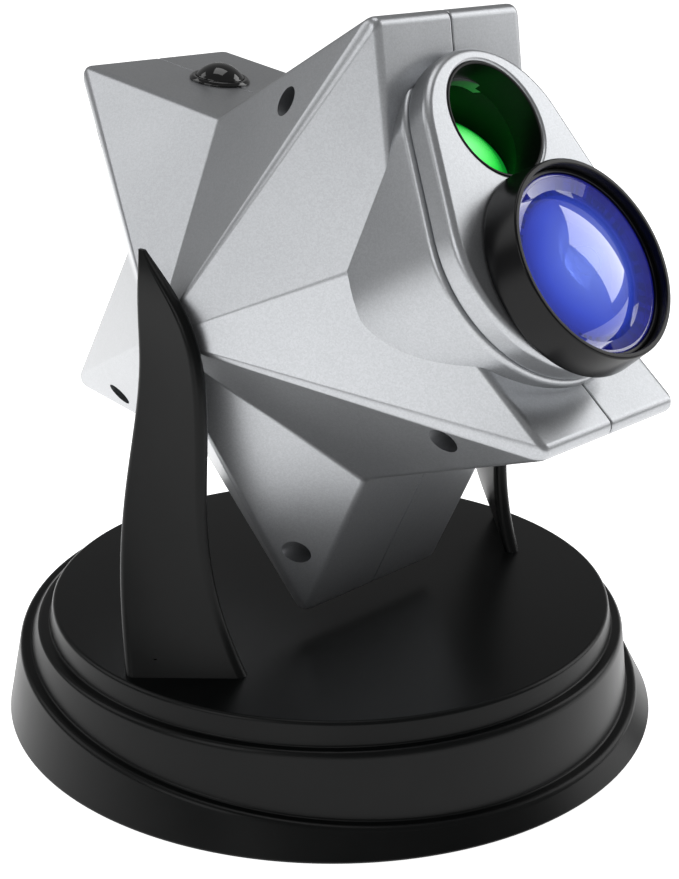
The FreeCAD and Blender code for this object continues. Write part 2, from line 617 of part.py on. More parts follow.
for hole, radius, height, depth in HOLES:
    hole_sketch = circle(body_sketch(front_plate, hole + "_circle", "XY", "plate_face"), "0", height, radius)
    pocket = front_plate.newObject("PartDesign::Pocket", hole + "_pocket")
    pocket.Profile = hole_sketch
    bind(pocket, Length=depth)
in_head(front_plate)

port_liner = in_head(turned("port_liner_body", [
    ("port_radius - liner_wall", WALL_REAR), ("port_radius", WALL_REAR),
    ("port_radius", "plate_face - liner_set_back"),
    ("port_radius - liner_wall", "plate_face - liner_set_back")], "port_height"))

# ---------------------------------------------------------------- focus ring, lens cell, lens
COLLAR_BORE = "cell_sleeve_radius + running_gap"
focus_ring = in_head(turned("focus_ring_body", [
    (COLLAR_BORE, "plate_face - collar_depth"), ("collar_radius", "plate_face - collar_depth"),
    ("collar_radius", "plate_face + ring_gap"), ("ring_rear_radius", "plate_face + ring_gap"),
    ("ring_rear_radius", "plate_face + ring_gap + 1"), ("ring_front_radius + 0.2", "ring_front - 0.6"),
    ("ring_front_radius - 0.3", "ring_front"), ("ring_bore", "ring_front"),
    ("ring_bore", "plate_face + ring_gap + ring_floor"),
    (COLLAR_BORE, "plate_face + ring_gap + ring_floor")], "lens_height"))
lens_cell = in_head(turned("lens_cell_body", [
    ("cell_sleeve_radius - cell_sleeve_wall", "cell_rear"), ("cell_sleeve_radius", "cell_rear"),
    ("cell_sleeve_radius", "cell_cup_rear"), ("ring_bore - running_gap", "cell_cup_rear"),
    ("ring_bore - running_gap", "cell_cup_front"), ("cell_bore", "cell_cup_front"),
    ("cell_bore", "cell_cup_rear + cell_floor"),
    ("cell_sleeve_radius - cell_sleeve_wall", "cell_cup_rear + cell_floor")], "lens_height"))


def cap_arc(radius, rise):
    """Radius of the sphere whose cap has this foot radius and rise."""
    return "((%s) * (%s) + (%s) * (%s)) / (2 * (%s))" % (radius, radius, rise, rise, rise)


def dome(label, radius, foot, top, height):
    """Cap of a sphere on the given axis, from its foot circle to its top."""
    rise = "((%s) - (%s))" % (top, foot)
    ball = doc.addObject("Part::Sphere", label + "_ball")
    bind(ball, Radius=cap_arc(radius, rise), Placement__Base__y=height,
         Placement__Base__z="(%s) - %s" % (top, cap_arc(radius, rise)))
    trim = rod(label + "_trim", radius, foot, "(%s) + 0.1" % top, "0", height)
    result = doc.addObject("Part::Common", label)
    result.Base = ball
    result.Tool = trim
    return result


def hollow_dome(label, radius, foot, top, height):
    """Cap of a sphere that bulges the other way, from its foot circle down to its lowest point."""
    rise = "((%s) - (%s))" % (foot, top)
    ball = doc.addObject("Part::Sphere", label + "_ball")
    bind(ball, Radius=cap_arc(radius, rise), Placement__Base__y=height,
         Placement__Base__z="(%s) + %s" % (top, cap_arc(radius, rise)))
    trim = rod(label + "_trim", radius, "(%s) - 0.1" % top, foot, "0", height)
    result = doc.addObject("Part::Common", label)
    result.Base = ball
    result.Tool = trim
    return result


LENS_RADIUS = "cell_bore - lens_clear"
LENS_REAR = "cell_cup_rear + cell_floor"
LENS_BACK_RADIUS = "cell_sleeve_radius - cell_sleeve_wall - 0.2"
lens_rim = turned("lens_rim_body", [
    ("0", LENS_REAR), (LENS_RADIUS, LENS_REAR), (LENS_RADIUS, "lens_rim_front"),
    ("dome_radius", "dome_foot"), ("0", "dome_foot")], "lens_height")
blue_lens = in_head(fuse("blue_lens_fuse", lens_rim,
                         dome("lens_front", "dome_radius", "dome_foot", "dome_top", "lens_height"),
                         hollow_dome("lens_rear", LENS_BACK_RADIUS, LENS_REAR, "lens_back", "lens_height")))

# ---------------------------------------------------------------- laser recess and window
RECESS_BORE = "port_radius - liner_wall"


def in_recess(thing, in_head_frame=True):
    """Stand a piece drawn along Z in the laser recess, its Z out of the recess."""
    thing.Placement = Placement(Vector(0, 0, 0), Rotation(Vector(1, 0, 0), 45))
    if not in_head_frame:
        return bind(thing, Placement__Base__y="port_height", Placement__Base__z=WALL_REAR,
                    Placement__Rotation__Angle="360 - laser_pitch")
    tilt = "(90 - nose_elevation)"
    return bind(thing,
                Placement__Base__y="pivot_y + port_height * cos%s - (%s) * sin%s" % (tilt, WALL_REAR, tilt),
                Placement__Base__z="pivot_height + port_height * sin%s + (%s) * cos%s" % (tilt, WALL_REAR, tilt),
                Placement__Rotation__Angle="%s - laser_pitch + 360" % tilt)


recess_rods = [rod("recess_outer", RECESS_BORE + " + recess_wall", "-recess_depth - 1.2", "9"),
               rod("recess_bore", RECESS_BORE, "-recess_depth", "10"),
               rod("recess_eye", RECESS_BORE + " - 1.5", "-recess_depth - 2", "10")]
recess_tube = in_recess(cut("recess_tube", recess_rods[0], recess_rods[1], recess_rods[2]), False)
recess_trim = block("recess_trim", ("-30", "30"), ("-30", "60"), (WALL_REAR, WALL_REAR + " + 30"))
laser_recess = in_head(cut("laser_recess_cut", recess_tube, recess_trim))
window_disc = rod("window_disc", RECESS_BORE + " - 0.05", "-recess_depth", "-recess_depth + window_edge")
green_window = in_recess(fuse("green_window_fuse", window_disc,
                              dome("window_dome", RECESS_BORE + " - 0.8", "-recess_depth + window_edge",
                                   "-recess_depth + window_edge + window_rise", "0")))

# ---------------------------------------------------------------- button and power inlet
SLEEVE = "button_radius + button_gap"
FLANGE = SLEEVE + " + bezel_sleeve + bezel_width"
bezel = turned("button_bezel_body", [
    (SLEEVE, "-bezel_depth"), (SLEEVE + " + bezel_sleeve", "-bezel_depth"),
    (SLEEVE + " + bezel_sleeve", "0"), (FLANGE, "0"), (FLANGE, "bezel_flange * 0.4"),
    (FLANGE + " - 0.7", "bezel_flange"), (SLEEVE, "bezel_flange")])
button_bezel = in_facet(bezel, BUTTON_PLACE)
cap_post = turned("button_cap_post", [
    ("0", "-stem_depth"), ("2", "-stem_depth"), ("2", "-bezel_depth - 1.6"),
    ("button_radius + 0.7", "-bezel_depth - 1.6"), ("button_radius + 0.7", "-bezel_depth - 0.3"),
    ("button_radius", "-bezel_depth - 0.3"), ("button_radius", "bezel_flange"), ("0", "bezel_flange")])
button_cap = in_facet(fuse("button_cap_fuse", cap_post,
                           dome("button_dome_cap", "button_radius", "bezel_flange", "button_dome", "0")),
                      BUTTON_PLACE)
tact_switch = in_facet(fuse("tact_switch_fuse",
                            block("switch_case", ("-3", "3"), ("-3", "3"), (SWITCH_FOOT, SWITCH_TOP + " - 0.9")),
                            rod("switch_plunger", "1.7", SWITCH_TOP + " - 0.9", SWITCH_TOP)), BUTTON_PLACE)
switch_board = in_facet(group("switch_board_group", [block(
    "switch_board_box", ("-switch_board_half_width", "switch_board_half_width"), ("-6", "6"),
    (SWITCH_FOOT + " - board_thickness", SWITCH_FOOT))]), BUTTON_PLACE)
INLET_TOP = "0.4"
inlet_body = fuse("inlet_body", rod("inlet_collar_rod", "inlet_collar", "-3", INLET_TOP),
                  block("inlet_box", ("-4.6", "4.6"), ("-4.6", "4.6"), (INLET_TOP + " - inlet_length", "-3")))
power_inlet = in_facet(fuse("power_inlet_fuse",
                            cut("inlet_bored", inlet_body,
                                rod("inlet_bore_rod", "inlet_bore", INLET_TOP + " - inlet_mouth", "2"),
                                rod("inlet_grip_rod", "inlet_bore - inlet_step", INLET_TOP + " - inlet_length + 2",
                                    INLET_TOP + " - inlet_mouth")),
                            rod("inlet_pin_rod", "inlet_pin", INLET_TOP + " - inlet_length + 2",
                                INLET_TOP + " - inlet_pin_depth")), INLET_PLACE)

# ---------------------------------------------------------------- optics and drive
CLOUD_PITCH = "gear_module * cloud_teeth / 2"
STAR_PITCH = "gear_module * star_teeth / 2"
PINION_PITCH = "gear_module * pinion_teeth / 2"


def drive_centre():
    """Motor axis: in mesh with both wheels, beside the line through their axles."""
    to_cloud = value_of(CLOUD_PITCH + " + " + PINION_PITCH)
    to_star = value_of(STAR_PITCH + " + " + PINION_PITCH)
    apart = value_of("star_axle_height - cloud_axle_height")
    along = (to_cloud ** 2 - to_star ** 2 + apart ** 2) / (2 * apart)
    return math.sqrt(to_cloud ** 2 - along ** 2), value_of("cloud_axle_height") + along


MOTOR_ACROSS, MOTOR_UP = drive_centre()
MOTOR = ("%.6f" % MOTOR_ACROSS, "%.6f" % MOTOR_UP)
bush_places = ["cloud_axle_height", "star_axle_height"]
bush_holes = [rod("bush_hole_%d" % i, "bush_radius", "frame_rear - 1", FRAME_FRONT + " + 1", "0", height)
              for i, height in enumerate(bush_places)]
frame_holes = [rod("beam_hole", "beam_radius", "frame_rear - 1", FRAME_FRONT + " + 1", "0", "lens_height"),
               rod("laser_hole", "2.5", "frame_rear - 1", FRAME_FRONT + " + 1", "0", "port_height"),
               rod("shaft_hole", "motor_shaft_radius + 2", "frame_rear - 1", FRAME_FRONT + " + 1", *MOTOR)]
frame_plate = block("frame_plate", ("-frame_half_width", "frame_half_width"), ("frame_bottom", "frame_top"),
                    ("frame_rear", FRAME_FRONT))
optics_frame = in_head(cut("optics_frame_cut", frame_plate, *bush_holes, *frame_holes))
axle_bushes = in_head(group("axle_bush_group", [
    cut("axle_bush_%d" % i, rod("bush_%d" % i, "bush_radius", FRAME_FRONT + " - bush_length", FRAME_FRONT, "0", height),
        rod("bush_bore_%d" % i, "axle_radius + running_gap", FRAME_FRONT + " - bush_length - 1",
            FRAME_FRONT + " + 1", "0", height))
    for i, height in enumerate(bush_places)]))


def gear_outline(teeth, module, phase, play=0.12):
    """Corners of a spur gear with straight-sided teeth; phase turns one tooth to that angle."""
    pitch = teeth * module / 2
    tip = pitch + 0.9 * module
    root = pitch - 1.15 * module
    step = 2 * math.pi / teeth
    half_root = math.asin(min(1, (math.pi * module / 4 + 0.42 * module - play) / root))
    half_tip = (math.pi * module / 4 - 0.33 * module - play) / tip
    corners = []
    for i in range(teeth):
        middle = phase + i * step
        for radius, lean in ((root, -half_root), (tip, -half_tip), (tip, half_tip), (root, half_root)):
            corners.append(Vector(radius * math.cos(middle + lean), radius * math.sin(middle + lean), 0))
    return corners


def gear(label, teeth_name, phase, centre, low, high, bore):
    """Toothed wheel as a feature set in code, since its outline is a formula."""
    teeth = int(value_of(teeth_name))
    middle = Vector(value_of(centre[0]), value_of(centre[1]), value_of(low))
    corners = [middle + corner for corner in gear_outline(teeth, value_of("gear_module"), phase)]
    face = Part.Face(Part.makePolygon(corners + corners[:1]))
    width = value_of("(%s) - (%s)" % (high, low))
    solid = face.extrude(Vector(0, 0, width))
    solid = solid.cut(Part.makeCylinder(bore, width + 2, middle - Vector(0, 0, 1)))
    feature = doc.addObject("Part::Feature", label)
    feature.Shape = solid
    return in_head(feature)


def mesh_phase(teeth_name, centre_height):
    """Phase of a wheel whose gap faces the pinion's tooth, when the pinion's phase is nought."""
    teeth = value_of(teeth_name)
    pinion = value_of("pinion_teeth")
    toward = math.atan2(MOTOR_UP - value_of(centre_height), MOTOR_ACROSS)
    offset = math.remainder(toward + math.pi, 2 * math.pi / pinion)
    return toward + offset * pinion / teeth + math.pi / teeth


motor_pinion = gear("motor_pinion_gear", "pinion_teeth", 0.0, MOTOR, "star_wheel_rear - 0.2",
                    "cloud_wheel_rear + wheel_thickness + 0.2", value_of("motor_shaft_radius"))
wheel_rows = [("star_wheel", "star_teeth", "star_axle_height", "star_wheel_rear"),
              ("cloud_wheel", "cloud_teeth", "cloud_axle_height", "cloud_wheel_rear")]
wheels = {}
axles = {}
for wheel, teeth_name, height, rear in wheel_rows:
    wheels[wheel] = gear(wheel + "_gear", teeth_name, mesh_phase(teeth_name, height), ("0", height), rear,
                         rear + " + wheel_thickness", value_of("axle_radius"))
    axles[wheel] = in_head(turned(wheel + "_axle_body", [
        ("0", FRAME_FRONT + " - bush_length - 2"), ("axle_radius", FRAME_FRONT + " - bush_length - 2"),
        ("axle_radius", FRAME_FRONT + " + 0.3"), ("axle_radius + 1.2", FRAME_FRONT + " + 0.3"),
        ("axle_radius + 1.2", rear), ("axle_radius", rear), ("axle_radius", rear + " + wheel_thickness + 1.2"),
        ("0", rear + " + wheel_thickness + 1.2")], height))
motor_can = turned("motor_can", [
    ("motor_shaft_radius + running_gap", "frame_rear - motor_length"), ("motor_radius", "frame_rear - motor_length"),
    ("motor_radius", "frame_rear"), ("motor_shaft_radius + running_gap", "frame_rear")],
    MOTOR[1], MOTOR[0])
drive_motor = in_head(motor_can)
motor_shaft = in_head(group("motor_shaft_group", [rod(
    "motor_shaft_rod", "motor_shaft_radius", "frame_rear - motor_length + 2",
    "cloud_wheel_rear + wheel_thickness + 0.2", *MOTOR)]))

laser_module = in_head(turned("laser_module_body", [
    ("0", "frame_rear - laser_module_length"), ("laser_module_radius", "frame_rear - laser_module_length"),
    ("laser_module_radius", "frame_rear"), ("1.5", "frame_rear"), ("1.5", "frame_rear - 2"),
    ("0", "frame_rear - 2")], "port_height"))


def finned_sink(label, centre_height, front, depth):
    """Square heat sink with slots across it, open at the rear."""
    half = "heat_sink_side / 2"
    solid = block(label + "_block", ("-" + half, half), ("%s - %s" % (centre_height, half), "%s + %s" % (centre_height, half)),
                  ("%s - %s" % (front, depth), front))
    slots = []
    for i in range(5):
        low = "%s - %s + 2.2 + %d * 4.4" % (centre_height, half, i)
        slots.append(block("%s_slot_%d" % (label, i), ("-20", "20"), (low, low + " + 2"),
                           ("%s - %s - 1" % (front, depth), "%s - 3" % front)))
    return cut(label, solid, *slots)


led_heat_sink = in_head(finned_sink("led_heat_sink_cut", "lens_height", "led_face - board_thickness", "14"))
led_board = in_head(turned("led_board_body", [
    ("0", "led_face - board_thickness"), ("10", "led_face - board_thickness"), ("10", "led_face"), ("0", "led_face")],
    "lens_height"))
led_emitter = in_head(fuse("led_emitter_fuse",
                           block("led_case", ("-3.5", "3.5"), ("lens_height - 3.5", "lens_height + 3.5"),
                                 ("led_face", "led_face + 1.2")),
                           dome("led_dome", "2.7", "led_face + 1.2", "led_face + 3.4", "lens_height")))
condenser_tube = in_head(turned("condenser_tube_body", [
    ("tube_bore", "led_face"), ("tube_bore + tube_wall", "led_face"), ("tube_bore + tube_wall", "frame_rear"),
    ("tube_bore - 1.6", "frame_rear"), ("tube_bore - 1.6", "frame_rear - 2"), ("tube_bore", "frame_rear - 2")], "lens_height"))
condenser_rim = turned("condenser_rim", [
    ("0", "frame_rear - 8"), ("tube_bore - 0.05", "frame_rear - 8"), ("tube_bore - 0.05", "frame_rear - 6"),
    ("0", "frame_rear - 6")],
    "lens_height")
condenser_lens = in_head(fuse("condenser_lens_fuse", condenser_rim,
                              dome("condenser_dome", "tube_bore - 0.6", "frame_rear - 6", "frame_rear - 3", "lens_height")))

main_board = in_head(group("main_board_group", [block(
    "main_board_box", ("-main_board_half_width", "main_board_half_width"),
    ("-main_board_half_height", "main_board_half_height"), ("main_board_rear", BOARD_FRONT))]))
capacitors = [rod("capacitor_%d" % i, "4", BOARD_FRONT, BOARD_FRONT + " + 11", x, y)
              for i, (x, y) in enumerate((("-14", "16"), ("-4", "17"), ("14", "-16")))]
chips = [block("chip_%d" % i, (x, x + " + 8"), (y, y + " + 6"), (BOARD_FRONT, BOARD_FRONT + " + 1.8"))
         for i, (x, y) in enumerate((("2", "4"), ("-13", "-4"), ("-6", "-17")))]
board_parts = in_head(group("board_part_group", capacitors + chips))

# ---------------------------------------------------------------- arms and pivots
ARM_MIDDLE = "(side_reach + arm_gap + arm_thickness / 2)"
arm_body = doc.addObject("PartDesign::Body", "arm_body")
arm_sketches = []
for station in ARM_STATIONS:
    section = body_sketch(arm_body, "arm_" + station, "XY",
                          "base_height + %s_rise * (pivot_height - base_height)" % station)
    slot(section, station + "_width", station + "_thick")
    section.AttachmentOffset = Placement(Vector(0, 0, value_of("base_height")), Rotation(Vector(0, 0, 1), 10))
    bind(section, AttachmentOffset__Base__x="0 - %s - %s_lean" % (ARM_MIDDLE, station),
         AttachmentOffset__Base__y="pivot_y + %s_back" % station,
         AttachmentOffset__Rotation__Angle=station + "_turn + 360")
    arm_sketches.append(section)
blade = arm_body.newObject("PartDesign::AdditiveLoft", "arm_blade")
blade.Profile = arm_sketches[0]
blade.Sections = arm_sketches[1:]
blade.Ruled = False


def on_pivot(label, radius, low, high):
    """Rod along the tilt axis in the world frame, left of the mid-plane."""
    return rod(label, radius, low, high, "pivot_y", "pivot_height", "x")


PIN_END = "-side_reach + hub_depth + 0.3"
arm_pin = on_pivot("arm_pin", "pin_radius", "-" + ARM_MIDDLE, PIN_END)
arm_shoulder = on_pivot("arm_shoulder", "shoulder_radius", "-" + ARM_MIDDLE, "-side_reach - washer_thickness")
pin_pilot = on_pivot("pin_pilot", "pivot_screw_radius", "-side_reach", PIN_END + " + 1")
SCREW_ROOT = "base_height - base_wall"


def arm_screw_rods(label, radius, low, high):
    """Upright rods under the arm's foot, spread along the blade."""
    rods = []
    for i, side in enumerate(("-", "")):
        spread = "%sarm_screw_spread" % side
        x = "0 - %s - foot_lean - %s * sin(foot_turn) + arm_screw_shift * cos(foot_turn)" % (ARM_MIDDLE, spread)
        y = "pivot_y + foot_back + %s * cos(foot_turn) + arm_screw_shift * sin(foot_turn)" % spread
        rods.append(rod("%s_%d" % (label, i), radius, low, high, x, y))
    return rods


arm_pilots = arm_screw_rods("arm_pilot", "arm_screw_radius", "base_height - 1", "base_height + 4.6")
left_arm = cut("left_arm_cut", fuse("left_arm_whole", arm_body, arm_pin, arm_shoulder), pin_pilot, *arm_pilots)
right_arm = mirrored("right_arm_mirror", left_arm)
arm_screw_left = group("arm_screws_left", [
    fuse("arm_screw_%d" % i, head, shank) for i, (head, shank) in enumerate(zip(
        arm_screw_rods("arm_screw_head", "arm_screw_radius * 2", SCREW_ROOT + " - 1.6", SCREW_ROOT),
        arm_screw_rods("arm_screw_shank", "arm_screw_radius", SCREW_ROOT, "base_height + 4")))])
arm_screws = group("arm_screw_group", [arm_screw_left, mirrored("arm_screws_right", arm_screw_left)])
friction_left = cut("friction_left",
                    on_pivot("friction_disc", "washer_radius", "-side_reach - washer_thickness", "-side_reach"),
                    on_pivot("friction_bore", "pin_radius + 0.1", "-side_reach - 2", "-side_reach + 1"))
friction_washers = group("friction_washer_group", [friction_left, mirrored("friction_right", friction_left)])
retainer_left = cut("retainer_left",
                    on_pivot("retainer_disc", "retainer_radius", PIN_END, PIN_END + " + retainer_thickness"),
                    on_pivot("retainer_bore", "pivot_screw_radius + 0.1", "-side_reach", "0"))
retaining_washers = group("retaining_washer_group", [retainer_left, mirrored("retainer_right", retainer_left)])
pivot_screw_left = fuse("pivot_screw_left",
                        on_pivot("pivot_screw_head", "screw_head_radius", PIN_END + " + retainer_thickness",
                                 PIN_END + " + retainer_thickness + screw_head_height"),
                        on_pivot("pivot_screw_shank", "pivot_screw_radius", "-side_reach + 0.5",
                                 PIN_END + " + retainer_thickness"))
pivot_screws = group("pivot_screw_group", [pivot_screw_left, mirrored("pivot_screw_right", pivot_screw_left)])

# ---------------------------------------------------------------- base
def ledge_sketch(name, radius, drop):
    """Circle in the sloping plane of the ledge, lowered by drop."""
    sketch = doc.addObject("Sketcher::SketchObject", name)
    circle(sketch, "0", "0", radius)
    sketch.Placement = Placement(Vector(0, 0, 0), Rotation(Vector(1, 0, 0), 5))
    return bind(sketch, Placement__Base__z="ledge_centre_height - (%s)" % drop,
                Placement__Rotation__Angle="ledge_slope")


def level_sketch(name, radius, height):
    """Circle in a level plane."""
    return circle(free_sketch(name, "XY", height), "0", "0", radius)


def base_form(label, inset):
    """Skirt up to the sloping ledge, middle tier up to the level ledge, and the top disc."""
    skirt = lofted(label + "_skirt", [
        level_sketch(label + "_edge", "base_radius - (%s)" % inset, "skirt_lift - (%s) * 0.2" % inset),
        ledge_sketch(label + "_skirt_top", "skirt_top_radius - (%s)" % inset, inset)])
    tier = lofted(label + "_tier", [
        ledge_sketch(label + "_tier_foot", "tier_foot_radius - (%s)" % inset, "(%s) + 1" % inset),
        level_sketch(label + "_tier_top", "tier_top_radius - (%s)" % inset, "tier_height - (%s)" % inset)])
    disc = lofted(label + "_disc", [
        level_sketch(label + "_disc_foot", "disc_foot_radius - (%s)" % inset, "tier_height - (%s) - 1" % inset),
        level_sketch(label + "_disc_top", "disc_top_radius - (%s)" % inset, "base_height - (%s)" % inset)])
    return fuse(label, skirt, tier, disc)


PLATE_TOP = "pad_thickness + bottom_plate_thickness"


def around(label, radius, circle_radius, low, high, count=4, start=45):
    """Upright rods on a circle about the base's centre."""
    rods = []
    for i in range(count):
        angle = start + i * 360 / count
        rods.append(rod("%s_%d" % (label, i), radius, low, high, "%s * cos(%g)" % (circle_radius, angle),
                        "%s * sin(%g)" % (circle_radius, angle)))
    return rods


base_outer = base_form("base_outer", "0")
base_inner = base_form("base_inner", "base_wall")
bosses = around("boss", "boss_radius", "boss_circle", PLATE_TOP, "base_height - 1")
base_cavity = cut("base_cavity", base_inner, *bosses)
base_pilots = around("base_pilot", "screw_radius", "boss_circle", "0", PLATE_TOP + " + 9")
deck_holes = arm_screw_rods("deck_hole", "arm_screw_radius + screw_clear", SCREW_ROOT + " - 1", "base_height + 1")
deck_holes_right = mirrored("deck_holes_right", group("deck_holes_left", deck_holes))
base_shell = cut("base_shell_cut", base_outer, base_cavity, *base_pilots, *deck_holes, deck_holes_right)
plate_disc = rod("plate_disc", "plate_radius", "pad_thickness", PLATE_TOP)
plate_holes = around("plate_hole", "screw_radius + screw_clear", "boss_circle", "0", PLATE_TOP + " + 1")
plate_sinks = around("plate_sink", "screw_head_radius + screw_clear", "boss_circle", "0", "pad_thickness + 1")
base_plate = cut("base_plate_cut", plate_disc, *plate_holes, *plate_sinks)
base_screw_heads = around("base_screw_head", "screw_head_radius", "boss_circle", "pad_thickness - 1", "pad_thickness + 1")
base_screw_shanks = around("base_screw_shank", "screw_radius", "boss_circle", "pad_thickness + 1", PLATE_TOP + " + 8")
base_screws = group("base_screw_group", [fuse("base_screw_%d" % i, head, shank) for i, (head, shank)
                                         in enumerate(zip(base_screw_heads, base_screw_shanks))])
non_slip_pad = cut("non_slip_pad_cut", rod("pad_disc", "pad_radius", "0", "pad_thickness"),
                   *around("pad_hole", "screw_head_radius + screw_clear", "boss_circle", "-1", "pad_thickness + 1"))
ballast_weight = group("ballast_group", [rod("ballast_disc", "ballast_radius", PLATE_TOP,
                                             PLATE_TOP + " + ballast_thickness")])

# ---------------------------------------------------------------- names, checks and files
NODES = {
    "base_shell": base_shell, "base_plate": base_plate, "base_screws": base_screws,
    "non_slip_pad": non_slip_pad, "ballast_weight": ballast_weight,
    "left_arm": left_arm, "right_arm": right_arm, "arm_screws": arm_screws,
    "friction_washers": friction_washers, "retaining_washers": retaining_washers,
    "pivot_screws": pivot_screws,
    "left_shell": left_shell, "right_shell": right_shell, "shell_screws": shell_screws,
    "nose_housing": nose_housing, "front_plate": front_plate, "port_liner": port_liner,
    "laser_recess": laser_recess, "green_window": green_window, "laser_module": laser_module,
    "focus_ring": focus_ring, "lens_cell": lens_cell, "blue_lens": blue_lens,
    "button_cap": button_cap, "button_bezel": button_bezel, "tact_switch": tact_switch,
    "switch_board": switch_board, "power_inlet": power_inlet,
    "optics_frame": optics_frame, "axle_bushes": axle_bushes,
    "star_wheel": wheels["star_wheel"], "star_axle": axles["star_wheel"],
    "cloud_wheel": wheels["cloud_wheel"], "cloud_axle": axles["cloud_wheel"],
    "motor_pinion": motor_pinion, "motor_shaft": motor_shaft, "drive_motor": drive_motor,
    "led_board": led_board, "led_emitter": led_emitter, "led_heat_sink": led_heat_sink,
    "condenser_tube": condenser_tube, "condenser_lens": condenser_lens,
    "main_board": main_board, "board_parts": board_parts,
}
doc.recompute()
for item in doc.Objects:
    if "Invalid" in item.State or "Error" in item.State:
        raise RuntimeError("%s did not build: %s" % (item.Name, item.State))
for node, part in NODES.items():
    part.Label = node
    if part.Shape.isNull() or not part.Shape.isValid():
        raise RuntimeError("%s has no sound shape" % node)
    print("%-18s solids %d  volume %9.1f mm3" % (node, len(part.Shape.Solids), part.Shape.Volume))
for node, part in NODES.items():
    part.Shape.exportStep("parts/%s.step" % node)
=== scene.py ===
"""Looks of a table-top star projector: satin silver star head on a black two-armed base."""
from __future__ import annotations

import logging
import math
from dataclasses import dataclass, field
from enum import Enum
from typing import Iterable, Sequence

import bmesh
import bpy
from mathutils import Matrix, Vector


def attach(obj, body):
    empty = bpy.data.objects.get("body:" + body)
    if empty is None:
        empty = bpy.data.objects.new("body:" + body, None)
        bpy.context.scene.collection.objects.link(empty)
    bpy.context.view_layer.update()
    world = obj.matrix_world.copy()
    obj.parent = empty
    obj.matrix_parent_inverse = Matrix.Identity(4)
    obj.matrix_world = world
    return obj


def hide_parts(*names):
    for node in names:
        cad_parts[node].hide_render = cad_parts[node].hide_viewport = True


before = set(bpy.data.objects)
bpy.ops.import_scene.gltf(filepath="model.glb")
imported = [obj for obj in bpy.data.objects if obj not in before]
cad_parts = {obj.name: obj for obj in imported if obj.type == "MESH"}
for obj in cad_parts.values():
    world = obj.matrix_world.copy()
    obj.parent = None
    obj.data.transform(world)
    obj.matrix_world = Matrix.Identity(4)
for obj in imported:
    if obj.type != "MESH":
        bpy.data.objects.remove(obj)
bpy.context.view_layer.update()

LOG = logging.getLogger("star_projector")
MM = 0.001


# ---------------------------------------------------------------- colour and materials
def srgb(code: str) -> tuple[float, float, float, float]:
    """Turn an sRGB hex code into linear RGBA.

    Args:
        code: six hex digits with a leading hash.

    Returns:
        Linear red, green, blue and an alpha of one.
    """
    channels = [int(code[i:i + 2], 16) / 255 for i in (1, 3, 5)]
    linear = [c / 12.92 if c <= 0.04045 else ((c + 0.055) / 1.055) ** 2.4 for c in channels]
    return (linear[0], linear[1], linear[2], 1.0)


def add_node(tree: bpy.types.NodeTree, kind: str, settings: dict | None = None,
             inputs: dict | None = None) -> bpy.types.Node:
    """Add a node with its settings and links.

    Args:
        tree: node tree that takes the node.
        kind: the node's type name.
        settings: node properties by name.
        inputs: socket values, or output sockets to link from, by name or index.

    Returns:
        The new node.
    """
    node = tree.nodes.new(kind)
    for name, value in (settings or {}).items():
        setattr(node, name, value)
    for socket, value in (inputs or {}).items():
        if isinstance(value, bpy.types.NodeSocket):
            tree.links.new(value, node.inputs[socket])
        else:
            node.inputs[socket].default_value = value
    return node


def ramp(tree: bpy.types.NodeTree, factor: bpy.types.NodeSocket,
         stops: Sequence[tuple[float, tuple[float, float, float, float]]]) -> bpy.types.NodeSocket:
    """Colour ramp through the given stops.

    Args:
        tree: node tree that takes the ramp.
        factor: socket that drives it.
        stops: pairs of position and colour, in order.

    Returns:
        The ramp's colour output.
    """
    node = add_node(tree, "ShaderNodeValToRGB", inputs={"Fac": factor})
    elements = node.color_ramp.elements
    while len(elements) < len(stops):
        elements.new(0.5)
    for element, (position, colour) in zip(elements, stops):
        element.position = position
        element.color = colour
    return node.outputs["Color"]


